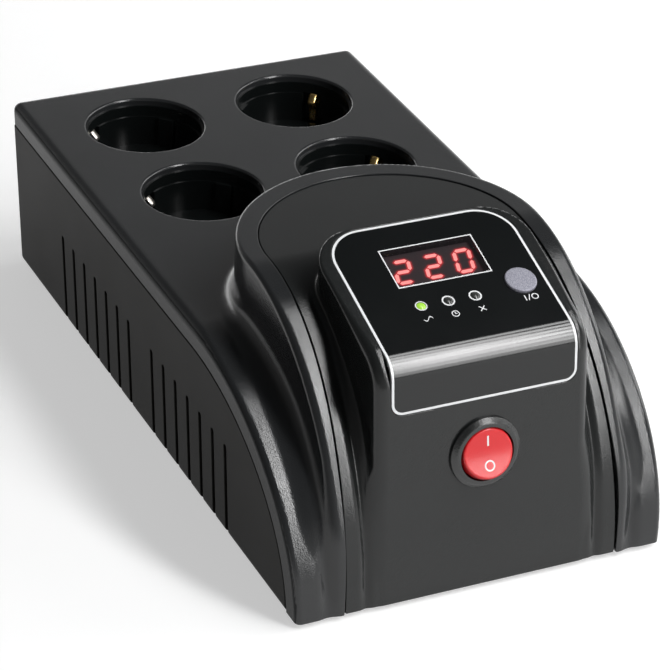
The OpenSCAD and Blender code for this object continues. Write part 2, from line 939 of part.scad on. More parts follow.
// One digit as seven strokes: top, upper right, lower right, bottom, lower left, upper left, middle
module stroke(length) {
    tip = stroke_w / 2;
    linear_extrude(stroke_t) polygon([[0, 0], [tip, tip], [length - tip, tip], [length, 0],
        [length - tip, -tip], [tip, -tip]]);
}

module digit(strokes) {
    half = digit_h / 2;
    flat_l = digit_w - stroke_w - 2 * stroke_gap;
    tall_l = half - stroke_w / 2 - 2 * stroke_gap;
    left = -digit_w / 2 + stroke_w / 2;
    multmatrix([[1, tan(digit_slant), 0, 0], [0, 1, 0, 0], [0, 0, 1, 0], [0, 0, 0, 1]]) {
        for (row = [[0, half - stroke_w / 2], [3, stroke_w / 2 - half], [6, 0]])
            if (strokes[row[0]] == 1) translate([left + stroke_gap, row[1], 0]) stroke(flat_l);
        for (row = [[1, -left, 0], [2, -left, -1], [4, left, -1], [5, left, 0]])
            if (strokes[row[0]] == 1)
                translate([row[1], row[2] * (half - stroke_w / 2) + stroke_gap, 0]) rotate([0, 0, 90])
                    stroke(tall_l);
    }
}

module display_segments() color([0.9, 0.1, 0.1]) lifted() on_console()
    translate([0, -window_drop - window_l / 2, -module_top]) {
        translate([-digit_pitch, 0, 0]) digit([1, 1, 0, 1, 1, 0, 1]);
        digit([1, 1, 0, 1, 1, 0, 1]);
        translate([digit_pitch, 0, 0]) digit([1, 1, 1, 1, 1, 1, 0]);
    }

// Round-headed indicator lamp that stands on the display board
module lamp(index) {
    lifted() on_console() translate([lamp_x + index * lamp_pitch, -lamp_drop, -display_board_top]) {
        cylinder(r = lamp_base_r, h = lamp_base_h);
        cylinder(r = lamp_r, h = display_board_top + lamp_proud - lamp_r);
        translate([0, 0, display_board_top + lamp_proud - lamp_r]) intersection() {
            sphere(r = lamp_r);
            cylinder(r = lamp_r + over, h = lamp_r + over);
        }
    }
}

module working_lamp() color([0.3, 0.8, 0.1]) lamp(0);
module delay_lamp() color([0.6, 0.5, 0.2]) lamp(1);
module fault_lamp() color([0.5, 0.2, 0.2]) lamp(2);

// Button, measured from the console's face: cap, retaining flange and stem
module push_button() color([0.45, 0.45, 0.5]) lifted() on_console() translate([button_x, -button_drop, 0]) {
    flange_top = wall + seat_gap / 2;
    stem_end = display_board_top - tact_h - tact_plunger_proud;
    translate([0, 0, -flange_top]) cylinder(r = button_r, h = flange_top + button_proud);
    translate([0, 0, -flange_top - button_flange_t]) cylinder(r = button_flange_r, h = button_flange_t);
    translate([0, 0, -stem_end]) cylinder(r = button_stem_r, h = stem_end - flange_top);
}

module tact_switch() color([0.12, 0.12, 0.12]) lifted() on_console()
    translate([button_x, -button_drop, -display_board_top]) difference() {
        translate([-tact_w / 2, -tact_w / 2, 0]) cube([tact_w, tact_w, tact_h]);
        translate([0, 0, tact_h + tact_plunger_proud - tact_plunger_l - button_travel - seat_gap])
            cylinder(r = tact_plunger_r + tact_gap, h = tact_plunger_l + button_travel + over);
    }

module tact_plunger() color([0.7, 0.7, 0.7]) lifted() on_console()
    translate([button_x, -button_drop, tact_h + tact_plunger_proud - tact_plunger_l - display_board_top])
        cylinder(r = tact_plunger_r, h = tact_plunger_l);

module display_board() color([0.1, 0.35, 0.15]) lifted() on_console() difference() {
    translate([-display_board_w / 2, -display_board_drop - display_board_l, -display_board_top - board_t])
        cube([display_board_w, display_board_l, board_t]);
    display_post_places() translate([0, 0, -display_board_top - board_t - over])
        cylinder(r = display_screw_r + seat_gap, h = board_t + 2 * over);
}

module display_screws() color([0.7, 0.7, 0.72]) lifted() on_console() display_post_places()
    translate([0, 0, -display_board_top - board_t])
        screw(display_screw_r, display_screw_l - seat_gap, display_head_r, display_head_t);

// Round switch body: flange, barrel and closed floor, bored for the rocker and its pivot
module switch_housing() color([0.05, 0.05, 0.05]) lifted() on_front(switch_z) difference() {
    union() {
        rotate_extrude() polygon([[0, 0], [switch_r, 0], [switch_r, switch_flange_t - switch_flange_edge],
            [switch_r - switch_flange_edge, switch_flange_t], [0, switch_flange_t]]);
        translate([0, 0, -switch_depth]) cylinder(r = switch_barrel_r, h = switch_depth + switch_flange_t / 2);
    }
    translate([0, 0, switch_floor_t - switch_depth])
        cylinder(r = rocker_hole_r, h = switch_depth + switch_flange_t + over);
    translate([-pivot_reach - pivot_gap, 0, 0]) rotate([0, 90, 0])
        cylinder(r = pivot_r + pivot_gap, h = 2 * (pivot_reach + pivot_gap));
    terminal_blades(thread_gap);
}

// Three blades through the floor of the switch, grown by a gap
module terminal_blades(gap) {
    end = -switch_depth - terminal_l;
    for (i = [-1 : 1])
        translate([-terminal_w / 2 - gap, i * terminal_pitch - terminal_t / 2 - gap, end])
            cube([terminal_w + 2 * gap, terminal_t + 2 * gap, terminal_l + switch_floor_t + terminal_foot]);
}

// Outline of the rocker seen from its side, in its middle position
module rocker_outline() {
    reach = rocker_r + over;
    high = rocker_mid_h + rocker_slope * reach;
    polygon([
        [-reach, -rocker_foot_h], [reach, -rocker_foot_h], [reach, high], [0, rocker_mid_h], [-reach, high]
    ]);
}

// Red rocker, a slice of a ball about its pivot, stored with its upper half pressed
module switch_rocker() color([0.8, 0.1, 0.1]) lifted() on_front(switch_z) rotate([-rocker_tilt, 0, 0]) {
    intersection() {
        sphere(r = rocker_r, $fn = 64);
        across(2 * rocker_r + over) rocker_outline();
    }
    translate([-pivot_reach, 0, 0]) rotate([0, 90, 0]) cylinder(r = pivot_r, h = 2 * pivot_reach);
}

module switch_terminals() color([0.8, 0.7, 0.4]) lifted() on_front(switch_z) terminal_blades(0);

// Recessed outlet: cup, guide ribs, contact sleeves and two ears
module outlet(index) {
    p = outlet_places[index];
    color([0.04, 0.04, 0.04]) lifted() difference() {
        union() {
            translate([p[0], p[1], outlet_under]) cylinder(r = outlet_r, h = deck_under - outlet_under);
            translate([p[0], p[1], deck_h - ear_drop - ear_h]) rotate([0, 0, outlet_turns[index]])
                both_sides() {
                    translate([0, -ear_r, 0]) cube([ear_reach, 2 * ear_r, ear_h]);
                    translate([ear_reach, 0, 0]) cylinder(r = ear_r, h = ear_h);
                }
            contact_places(index) translate([0, 0, outlet_under - contact_sleeve_l]) cylinder(
                r = contact_r + contact_wall + contact_sleeve_wall,
                h = contact_sleeve_l + outlet_floor_t / 2
            );
        }
        translate([p[0], p[1], outlet_mouth_z]) cylinder(r = recess_r, h = outlet_mouth_l + over, $fn = 96);
        difference() {
            translate([p[0], p[1], outlet_floor])
                cylinder(r = recess_r - recess_step, h = recess_depth, $fn = 96);
            translate([p[0], p[1], 0]) rotate([0, 0, outlet_turns[index]]) both_sides()
                translate([recess_r - guide_d, -guide_w / 2, outlet_floor - over])
                    cube([guide_d + over, guide_w, outlet_mouth_z - outlet_floor + over]);
        }
        contact_places(index) {
            translate([0, 0, outlet_under - contact_sleeve_l - over])
                cylinder(r = contact_r + contact_wall + seat_gap / 2, h = contact_sleeve_l + over);
            translate([0, 0, outlet_under - over]) cylinder(r = contact_r, h = outlet_floor_t + 2 * over);
        }
        translate([p[0], p[1], 0]) rotate([0, 0, outlet_turns[index] + 90]) clip_room();
        translate([p[0], p[1], deck_h - ear_drop - ear_h - over]) rotate([0, 0, outlet_turns[index]])
            both_sides() translate([ear_reach, 0, 0])
                cylinder(r = ear_screw_r + ear_hole_gap, h = ear_h + 2 * over);
    }
}

// Both contact places of one outlet, on its turned axis
module contact_places(index) {
    p = outlet_places[index];
    translate([p[0], p[1], 0]) rotate([0, 0, outlet_turns[index]])
        for (side = [-1, 1]) translate([side * contact_reach, 0, 0]) children();
}

// Slots in the cup's wall that the earth clip passes up through
module clip_room() {
    top = deck_h - clip_top_drop + clip_slot_gap;
    both_sides() translate([recess_r - over, -clip_w / 2 - clip_slot_gap, outlet_under - over])
        cube([over + clip_t + 2 * clip_slot_gap, clip_w + 2 * clip_slot_gap, top - outlet_under + over]);
}

// Earth clip: a strap under the cup whose two ends rise through the wall and bow inward
module earth_clip(index) {
    p = outlet_places[index];
    top = deck_h - clip_top_drop;
    bow_z = (top + outlet_floor) / 2;
    color([0.75, 0.6, 0.3]) lifted() translate([p[0], p[1], 0]) rotate([0, 0, outlet_turns[index] + 90]) {
        translate([-clip_r - clip_t, -clip_w / 2, clip_under_z]) cube([2 * (clip_r + clip_t), clip_w, clip_t]);
        both_sides() translate([0, clip_w / 2, 0]) rotate([90, 0, 0]) linear_extrude(clip_w) polygon([
            [clip_r, clip_under_z], [clip_r + clip_t, clip_under_z], [clip_r + clip_t, outlet_floor + clip_t],
            [clip_r + clip_t - clip_bow, bow_z], [clip_r + clip_t, top], [clip_r, top],
            [clip_r - clip_bow, bow_z], [clip_r, outlet_floor + clip_t]
        ]);
    }
}

module outlet_screws() color([0.7, 0.7, 0.72]) lifted() outlet_post_places()
    translate([0, 0, deck_h - ear_drop - ear_h])
        screw(ear_screw_r, ear_screw_l - seat_gap, ear_head_r, ear_head_t);

// Contact tube of one outlet hole, hanging under the cup's floor
module contact_tube() {
    translate([0, 0, bar_z]) difference() {
        cylinder(r = contact_r + contact_wall, h = contact_tube_l);
        translate([0, 0, bar_t]) cylinder(r = contact_r, h = contact_tube_l);
    }
}

// Bar under one column of outlets with a contact tube for each; the near side faces the middle
module contact_bar(column, side) {
    x = column * (outlet_column_x - side * contact_side);
    shift = side * contact_shift;
    difference() {
        translate([x - bar_w / 2, outlet_near_y + shift - bar_over, bar_z])
            cube([bar_w, outlet_gap_y + 2 * bar_over, bar_t]);
        for (y = [outlet_near_y, outlet_far_y]) translate([x, y + shift, bar_z + bar_t / 2])
            cylinder(r = contact_r, h = bar_t);
    }
    for (y = [outlet_near_y, outlet_far_y]) translate([x, y + shift, 0]) contact_tube();
}

module live_bars() color([0.8, 0.65, 0.3]) lifted() for (column = [-1, 1]) contact_bar(column, 1);
module neutral_bars() color([0.8, 0.65, 0.3]) lifted() for (column = [-1, 1]) contact_bar(column, -1);

// Straps that join the four earth clips under the cups
module earth_bar() color([0.75, 0.6, 0.3]) lifted() {
    for (x = [-outlet_column_x, outlet_column_x])
        translate([x - bar_w / 4, outlet_near_y, clip_under_z - clip_t])
            cube([bar_w / 2, outlet_gap_y, clip_t]);
    translate([-outlet_column_x, outlet_near_y + outlet_gap_y / 2 - bar_w / 4, clip_under_z - 2 * clip_t])
        cube([outlet_gap_x, bar_w / 2, clip_t]);
}

module cover_screws() color([0.6, 0.6, 0.62]) lifted() cover_places() translate([0, 0, cover_split - screw_web])
    screw(screw_r, screw_bite + screw_web - seat_gap, screw_head_r, screw_head_t);

module panel_screws() color([0.6, 0.6, 0.62]) lifted() panel_places() translate([0, 0, panel_split - screw_web])
    screw(screw_r, panel_post_h - seat_gap, screw_head_r, screw_head_t);

// Laminated core: outer frame with two windows and a middle leg
module transformer_core() color([0.45, 0.46, 0.48]) lifted() translate([0, core_y, core_base]) difference() {
    translate([-core_w / 2, -core_stack / 2, 0]) cube([core_w, core_stack, core_h]);
    both_sides() translate([core_leg / 2, -core_stack / 2 - over, core_yoke])
        cube([core_window, core_stack + 2 * over, core_h - 2 * core_yoke]);
}

// Rounded ring round the core's middle leg
module leg_ring(inner_grow, outer_grow, z0, height, radius) {
    x_in = core_leg / 2 + inner_grow;
    y_in = core_stack / 2 + inner_grow;
    x_out = core_leg / 2 + outer_grow;
    y_out = core_stack / 2 + outer_grow;
    translate([0, core_y, core_base + z0]) linear_extrude(height) difference() {
        polygon(rounded([[-x_out, -y_out, radius], [x_out, -y_out, radius],
            [x_out, y_out, radius], [-x_out, y_out, radius]]));
        translate([-x_in, -y_in]) square([2 * x_in, 2 * y_in]);
    }
}

module winding_bobbin() color([0.9, 0.88, 0.8]) lifted() {
    low = core_yoke + bobbin_gap;
    high = core_h - core_yoke - bobbin_gap;
    flange = core_window - bobbin_gap;
    leg_ring(bobbin_gap, bobbin_gap + bobbin_t, low, high - low, bobbin_t / 2);
    for (z = [low, high - bobbin_t]) leg_ring(bobbin_gap, flange, z, bobbin_t, bobbin_t);
}

module copper_winding() color([0.75, 0.42, 0.2]) lifted()
    leg_ring(bobbin_gap + bobbin_t, bobbin_gap + bobbin_t + winding_build,
        core_yoke + bobbin_gap + bobbin_t, core_h - 2 * (core_yoke + bobbin_gap + bobbin_t), winding_corner);

// Steel strap over the core with a screwed foot on each side
module transformer_bracket() color([0.7, 0.71, 0.73]) lifted() translate([0, core_y, core_base]) difference() {
    union() {
        half = core_w / 2;
        across_y(bracket_w) polygon([
            [-half - bracket_t - bracket_foot, -bracket_t], [-half, -bracket_t], [-half, core_h],
            [half, core_h], [half, -bracket_t], [half + bracket_t + bracket_foot, -bracket_t],
            [half + bracket_t + bracket_foot, 0], [half + bracket_t, 0],
            [half + bracket_t, core_h + bracket_t], [-half - bracket_t, core_h + bracket_t],
            [-half - bracket_t, 0], [-half - bracket_t - bracket_foot, 0]
        ]);
    }
    both_sides() translate([bracket_hole_x, 0, -bracket_t - over])
        cylinder(r = bracket_screw_r + bracket_hole_gap, h = bracket_t + 2 * over);
}

module across_y(width) {
    translate([0, width / 2, 0]) rotate([90, 0, 0]) linear_extrude(width) children();
}

module bracket_screws() color([0.7, 0.7, 0.72]) lifted() bracket_places() translate([0, 0, core_base])
    mirror([0, 0, 1]) screw(bracket_screw_r, core_base - base_t / 2, bracket_head_r, bracket_head_t);

module control_board() color([0.1, 0.35, 0.15]) lifted() difference() {
    translate([-board_w / 2, board_mid_y - board_l / 2, board_z]) cube([board_w, board_l, board_t]);
    board_places() translate([0, 0, board_z - over])
        cylinder(r = board_screw_r + seat_gap, h = board_t + 2 * over);
}

module board_screws() color([0.7, 0.7, 0.72]) lifted() board_places() translate([0, 0, board_top])
    mirror([0, 0, 1]) screw(board_screw_r, board_screw_l, board_head_r, board_head_t);

// Sealed relay on the control board
module relay(index) {
    x = (index - (relay_count - 1) / 2) * relay_pitch;
    color([0.15, 0.3, 0.6]) lifted()
        translate([x - relay_l / 2, board_mid_y - board_l / 2 + relay_row, board_top])
            cube([relay_l, relay_w, relay_h]);
}

module relay_1() relay(0);
module relay_2() relay(1);
module relay_3() relay(2);
module relay_4() relay(3);

module control_chip() color([0.1, 0.1, 0.1]) lifted() translate([0, board_mid_y, board_top]) {
    translate([-chip_l / 2, -chip_w / 2, pin_h]) cube([chip_l, chip_w, chip_h]);
    for (side = [-1, 1], i = [0 : pin_count - 1])
        translate([-chip_l / 2 + (i + 0.5) * chip_l / pin_count, side * (chip_w / 2 - pin_r), 0])
            cylinder(r = pin_r, h = pin_h + chip_h / 2);
}

module filter_capacitors() color([0.12, 0.12, 0.3]) lifted()
    for (i = [0 : capacitor_count - 1])
        translate([board_w / 2 - board_l / 4, board_mid_y + (i - 0.5) * capacitor_pitch, board_top])
            cylinder(r = capacitor_r, h = capacitor_h);

module heat_sink() color([0.75, 0.76, 0.78]) lifted()
    translate([-board_w / 2 + sink_w, board_mid_y, board_top]) {
        cube([sink_fin_t, sink_l, sink_h]);
        for (i = [0 : sink_fins - 1]) translate([-sink_w / 2, i * (sink_l - sink_fin_t) / (sink_fins - 1), 0])
            cube([sink_w, sink_fin_t, sink_h]);
    }

// Push-on tabs along the back edge of the control board
module board_tabs() color([0.8, 0.7, 0.4]) lifted() for (i = [0 : tab_count - 1])
    translate([(i - (tab_count - 1) / 2) * tab_pitch, board_back_y - tab_row_inset, board_top]) {
        translate([-tab_w / 2, -tab_t / 2, 0]) cube([tab_w, tab_t, tab_h]);
        translate([-tab_w / 2, -tab_t, 0]) cube([tab_w, 2 * tab_t, tab_foot_h]);
    }

// Appliance inlet: shaped shroud, flange and closed floor
module power_inlet() color([0.06, 0.06, 0.06]) lifted() translate([inlet_x, 0, inlet_z]) difference() {
    union() {
        along(back_y - wall - inlet_depth, back_y + inlet_flange_t / 2) inlet_outline(0);
        along(back_y, back_y + inlet_flange_t) inlet_flange();
    }
    along(back_y - wall - inlet_depth + inlet_floor_t, back_y + inlet_flange_t + over)
        inlet_outline(inlet_wall);
    both_sides() translate([inlet_screw_reach, back_y + inlet_flange_t + over, 0]) rotate([90, 0, 0])
        cylinder(r = inlet_screw_r + seat_gap, h = inlet_flange_t + 2 * over);
    inlet_pin_places() translate([-inlet_pin_w / 2, back_y - wall - inlet_depth - over, -inlet_pin_h / 2])
        cube([inlet_pin_w, inlet_floor_t + 2 * over, inlet_pin_h]);
}

// Outline of the flange, pointed to the sides where its screws go
module inlet_flange() {
    half = inlet_flange_w / 2;
    shoulder = inlet_w / 2;
    high = inlet_flange_h / 2;
    radius = inlet_flange_h / 4;
    polygon(rounded([[-half, 0, radius], [-shoulder, -high, radius], [shoulder, -high, radius],
        [half, 0, radius], [shoulder, high, radius], [-shoulder, high, radius]]));
}

module inlet_pin_places() {
    for (p = [[-inlet_pin_x, -inlet_pin_drop], [0, inlet_pin_drop], [inlet_pin_x, -inlet_pin_drop]])
        translate([p[0], 0, p[1]]) children();
}

module inlet_pins() color([0.85, 0.75, 0.45]) lifted() translate([inlet_x, 0, inlet_z]) inlet_pin_places()
    translate([-inlet_pin_w / 2, back_y - wall - inlet_depth - inlet_tail_l, -inlet_pin_h / 2])
        cube([inlet_pin_w, inlet_tail_l + inlet_pin_l, inlet_pin_h]);

module inlet_screws() color([0.6, 0.6, 0.62]) lifted() translate([inlet_x, back_y + inlet_flange_t, inlet_z])
    both_sides() translate([inlet_screw_reach, 0, 0]) rotate([90, 0, 0])
        screw(inlet_screw_r, inlet_screw_l, inlet_head_r, inlet_head_t);

// Resettable overload breaker: box inside, threaded neck through the rear wall
module breaker_body() color([0.08, 0.08, 0.08]) lifted() translate([breaker_x, back_y - wall, breaker_z])
    difference() {
        union() {
            translate([-breaker_box_w / 2, -breaker_box_l, -breaker_box_h / 2])
                cube([breaker_box_w, breaker_box_l, breaker_box_h]);
            rotate([-90, 0, 0]) cylinder(r = breaker_neck_r, h = breaker_neck_l);
        }
        translate([0, breaker_neck_l + over, 0]) rotate([90, 0, 0])
            cylinder(r = reset_r + reset_gap, h = breaker_neck_l + reset_bore_l + over);
        translate([0, -reset_gap, 0]) rotate([90, 0, 0])
            cylinder(r = reset_flange_r + 2 * reset_gap, h = reset_bore_l - reset_gap);
    }

module breaker_button() color([0.75, 0.12, 0.1]) lifted()
    translate([breaker_x, back_y - wall + breaker_neck_l + reset_proud, breaker_z]) rotate([90, 0, 0]) {
        flange_in = reset_proud + breaker_neck_l + reset_travel + 3 * reset_gap;
        cylinder(r = reset_r, h = flange_in + reset_flange_t);
        translate([0, 0, flange_in]) cylinder(r = reset_flange_r, h = reset_flange_t);
    }

module breaker_nut() color([0.75, 0.76, 0.78]) lifted() translate([breaker_x, back_y, breaker_z])
    rotate([-90, 0, 0]) difference() {
        cylinder(r = breaker_nut_r, h = breaker_nut_t, $fn = 6);
        translate([0, 0, -over]) cylinder(r = breaker_neck_r + thread_gap, h = breaker_nut_t + 2 * over);
    }

// Eight-sided wire along a row of points, each run lengthened a little past its turn
module wire(points) {
    for (i = [0 : len(points) - 2]) {
        run = points[i + 1] - points[i];
        past = i < len(points) - 2 ? wire_r / 2 : 0;
        translate(points[i]) rotate([0, acos(run[2] / norm(run)), atan2(run[1], run[0])])
            cylinder(r = wire_r, h = norm(run) + past, $fn = 8);
    }
}

function tab_x(i) = (i - (tab_count - 1) / 2) * tab_pitch;

// Point on the mains switch's back: up the face and in from it
function switch_point(up, inward) =
    let (y0 = front_y + switch_z * tan(front_lean))
    [0, y0 + up * sin(front_lean) + inward * cos(front_lean),
        switch_z + up * cos(front_lean) - inward * sin(front_lean)];

// Wires between the inlet, the breaker, the control board, the transformer, the switch and the outlets
module mains_wiring() color([0.5, 0.3, 0.15]) lifted() {
    live_x = inlet_x + inlet_pin_x;
    neutral_x = inlet_x - inlet_pin_x;
    pin_z = inlet_z - inlet_pin_drop;
    turn_y = tail_y - loop_l;
    turn_z = max(pin_z, board_top + wire_r + seat_gap);
    low_z = board_top + wire_r;
    over_z = tab_top + loop_l;
    back_face = core_y + winding_half_y;
    front_face = core_y - winding_half_y;
    blade_end = switch_depth + terminal_l;
    middle_blade = switch_point(0, blade_end + loop_l / 2);
    wire([[live_x, tail_y, pin_z], [live_x, turn_y, turn_z], [breaker_x, turn_y, turn_z],
        [breaker_x, breaker_end_y, turn_z]]);
    wire([[breaker_x, breaker_end_y, low_z], [breaker_x, turn_y, low_z],
        [breaker_x, tab_y, over_z], [tab_x(4), tab_y, over_z], [tab_x(4), tab_y, tab_top]]);
    wire([[neutral_x, tail_y, pin_z], [neutral_x, turn_y, turn_z], [neutral_x, tab_y, over_z],
        [tab_x(0), tab_y, over_z], [tab_x(0), tab_y, tab_top]]);
    for (i = [1, 2]) wire([[tab_x(i), tab_y, tab_top], [tab_x(i), tab_y, wire_z],
        [tab_x(i), back_face + loop_l, wire_z], [tab_x(i), back_face, wire_z]]);
    wire([[tab_x(3), tab_y, tab_top], [tab_x(3), tab_y, wire_z],
        [tab_x(3), back_face + winding_half_y, wire_z], [bypass_x, back_face, wire_z],
        [bypass_x, behind_switch_y, wire_z],
        switch_point(-terminal_pitch, blade_end + loop_l / 2), switch_point(-terminal_pitch, blade_end)]);
    wire([[0, front_face, middle_blade[2]], middle_blade, switch_point(0, blade_end)]);
    for (column = [-1, 1], side = [-1, 1]) wire([
        [column * (outlet_column_x - side * contact_side), riser_y, board_top],
        [column * (outlet_column_x - side * contact_side), riser_y, bar_z]]);
}

// Outline of a strip of one thickness along a row of points in the Y-Z plane
function strip_side(p, t) = [for (i = [0 : len(p) - 1])
    let (a = p[i == 0 ? 0 : i - 1], b = p[i == len(p) - 1 ? i : i + 1], d = unit(b - a))
    p[i] + t * [-d[1], d[0]]];
function reversed(p) = [for (i = [len(p) - 1 : -1 : 0]) p[i]];

// Flat cable from the display board down to its plug on the control board
module ribbon_cable() color([0.7, 0.7, 0.72]) lifted() {
    drop = display_board_drop + display_board_l / 4;
    deep = display_board_top + board_t + ribbon_t / 2;
    start_y = console_y - drop * cos(console_tilt) + deep * sin(console_tilt);
    start_z = console_h - drop * sin(console_tilt) - deep * cos(console_tilt);
    bobbin_back = core_y + winding_half_y + winding_margin;
    middle_y = bobbin_back + ribbon_t + ribbon_place_share * (outlet_near_y - outlet_r - bobbin_back);
    plug_y = max(board_mid_y - board_l / 2 + ribbon_plug_l, middle_y);
    over_core = (core_base + core_h + hood_h - wall) / 2;
    path = [
        [start_y - ribbon_w / 2, start_z - ribbon_w / 2 * tan(console_tilt)], [start_y, start_z],
        [(start_y + console_y) / 2, over_core], [middle_y - ribbon_w, over_core],
        [middle_y, over_core - ribbon_w],
        [middle_y, board_top + 2 * ribbon_w], [plug_y, board_top + ribbon_plug_h / 2]
    ];
    translate([ribbon_x, 0, 0]) {
        across(ribbon_w)
            polygon(concat(strip_side(path, ribbon_t / 2), reversed(strip_side(path, -ribbon_t / 2))));
        translate([-ribbon_w / 2 - ribbon_t, plug_y - ribbon_plug_l / 2, board_top])
            cube([ribbon_w + 2 * ribbon_t, ribbon_plug_l, ribbon_plug_h]);
    }
}

bottom_tray();
rubber_feet();
top_cover();
front_panel();
cover_screws();
panel_screws();
fascia_label();
display_lens();
display_module();
display_segments();
working_lamp();
delay_lamp();
fault_lamp();
push_button();
tact_switch();
tact_plunger();
display_board();
display_screws();
switch_housing();
switch_rocker();
switch_terminals();
outlet(0);  // outlet_1
outlet(1);  // outlet_2
outlet(2);  // outlet_3
outlet(3);  // outlet_4
outlet_screws();
earth_clip(0);  // earth_clip_1
earth_clip(1);  // earth_clip_2
earth_clip(2);  // earth_clip_3
earth_clip(3);  // earth_clip_4
live_bars();
neutral_bars();
earth_bar();
transformer_core();
winding_bobbin();
copper_winding();
transformer_bracket();
bracket_screws();
control_board();
board_screws();
relay_1();
relay_2();
relay_3();
relay_4();
control_chip();
filter_capacitors();
heat_sink();
board_tabs();
ribbon_cable();
power_inlet();
inlet_pins();
inlet_screws();
breaker_body();
breaker_button();
breaker_nut();
mains_wiring();
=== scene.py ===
"""Looks of the desktop voltage stabiliser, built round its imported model."""
import json
import math

import bpy
import numpy as np
from mathutils import Matrix, Vector
from mathutils.bvhtree import BVHTree
from mathutils.geometry import delaunay_2d_cdt


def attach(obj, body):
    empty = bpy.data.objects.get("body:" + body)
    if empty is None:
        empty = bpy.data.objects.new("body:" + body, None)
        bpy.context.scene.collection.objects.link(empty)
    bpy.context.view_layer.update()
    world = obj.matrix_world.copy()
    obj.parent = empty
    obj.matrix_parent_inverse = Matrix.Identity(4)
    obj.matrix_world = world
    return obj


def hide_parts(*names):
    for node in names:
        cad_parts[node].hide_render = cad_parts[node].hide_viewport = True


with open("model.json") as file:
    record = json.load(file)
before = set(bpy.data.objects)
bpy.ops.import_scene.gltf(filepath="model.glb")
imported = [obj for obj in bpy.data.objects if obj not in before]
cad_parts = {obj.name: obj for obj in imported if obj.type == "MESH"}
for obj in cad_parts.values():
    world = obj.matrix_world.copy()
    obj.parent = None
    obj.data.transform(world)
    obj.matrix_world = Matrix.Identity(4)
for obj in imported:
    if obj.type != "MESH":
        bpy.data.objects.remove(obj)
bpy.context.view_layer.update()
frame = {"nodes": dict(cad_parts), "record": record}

# Sizes in millimetres, as in the part's source. The housing's own frame has z = 0 at its bottom edge
# and y = 0 at its middle; place() moves points from there to the row frame.
BODY_L = 248.2
BACK_Y, FRONT_Y = BODY_L / 2, -BODY_L / 2
DECK_H, DECK_HALF, BASE_HALF = 63.6, 66.2, 63.4
LEAN = (DECK_HALF - BASE_HALF) / DECK_H
SHOULDER_RUN = 81.1
SHOULDER_Y = FRONT_Y + SHOULDER_RUN
HOOD_HALF, HOOD_H, HOOD_RUN, HOOD_BACK = 50.5, 86.5, 74.1, 48.5
HOOD_Y = FRONT_Y + HOOD_RUN
RIM_W, RIM_BACK_W, FLARE = 7.2, 8.0, 3.8
PANEL_HALF, PANEL_BACK, PANEL_SUNK = HOOD_HALF - RIM_W, HOOD_BACK - RIM_BACK_W, 0.3
CONSOLE_HALF, CONSOLE_L, CONSOLE_H, CONSOLE_CORNER, CONSOLE_BEND = 36.2, 64.1, 97.5, 15.0, 8.0
CONSOLE_Y, CONSOLE_FLARE = FRONT_Y + CONSOLE_L, 2.2
TILT, FRONT_LEAN = math.radians(17.1), math.radians(6.1)
LIP_H, SEAM_GAP, WALL = 8.6, 0.4, 2.5
BACK_EASE, EDGE_EASE, RIDGE_EASE, TRAY_EASE, CORNER_EASE = 2.6, 2.0, 1.2, 1.7, 2.4
RECESS_R, RECESS_DEPTH = 20.0, 17.5
RECESS_FLOOR = DECK_H - RECESS_DEPTH
MOUTH_R = RECESS_R + 0.6
OUTLETS = [(-28.5, 37.7), (28.5, 37.7), (-28.5, 90.6), (28.5, 90.6)]
TURNS = [45, 135, 45, 135]
SWITCH_Z = 46.0
SHIFT_Y, LIFT = 3.9293, 1.5
MM = 0.001
FAR = 1e3
UP = np.array([0.0, 0.0, 1.0])


def place(points):
    """Points in the housing's frame, in millimetres, as points in the row frame, in metres."""
    return (np.asarray(points, float) + [0.0, -SHIFT_Y, LIFT]) * MM


# Distance fields, negative inside

def round_both(a, b, r):
    """Both solids, with their common convex edge rounded to radius r."""
    return np.minimum(-r, np.maximum(a, b)) + np.hypot(np.maximum(a + r, 0), np.maximum(b + r, 0))


def round_either(a, b, r):
    """Either solid, with the hollow edge between them filled to radius r."""
    return np.maximum(r, np.minimum(a, b)) - np.hypot(np.maximum(r - a, 0), np.maximum(r - b, 0))


def ellipse(u, v, a, b):
    """Near distance to an ellipse, exact on its curve."""
    k0 = np.sqrt((u / a) ** 2 + (v / b) ** 2) + 1e-9
    k1 = np.sqrt((u / a ** 2) ** 2 + (v / b ** 2) ** 2) + 1e-9
    return k0 * (k0 - 1) / k1


def ramp(x, x0, x1):
    t = np.clip((x - x0) / (x1 - x0), 0, 1)
    return t * t * (3 - 2 * t)


def profile(y, z, middle, run, height):
    """Side profile that is level behind its middle and an ellipse in front of it."""
    return np.where(y >= middle, z - height, ellipse(np.minimum(y - middle, 0), z, run, height))


def plan(x, y, half, back, flare=0.0):
    """U-shaped plan outline: an elliptical end behind HOOD_Y and straight or flared sides in front."""
    t = np.clip((HOOD_Y - y) / HOOD_RUN, 0, 1.2)
    return np.where(y >= HOOD_Y, ellipse(x, np.maximum(y - HOOD_Y, 0), half, back),
                    np.abs(x) - half - flare * t * t)


def side(x, z):
    return (np.abs(x) - BASE_HALF - LEAN * z) / math.hypot(1, LEAN)


def deck_solid(x, y, z):
    top = profile(y, z, SHOULDER_Y, SHOULDER_RUN, DECK_H)
    top = round_both(top, y - BACK_Y, BACK_EASE)
    return round_both(top, side(x, z), EDGE_EASE + 1.2 * ramp(y, SHOULDER_Y - 40, SHOULDER_Y))


def hood_solid(x, y, z):
    ridge = RIDGE_EASE + 0.9 * ramp(-y, 30, 95)
    wall = plan(x, y, HOOD_HALF, HOOD_BACK)
    return round_both(profile(y, z, HOOD_Y, HOOD_RUN, HOOD_H), wall, ridge)


def at_foot(z):
    """Share of a hollow's radius that is left near the foot, where the two skins run side by side."""
    return 0.08 + 0.92 * ramp(z, 1, 32)


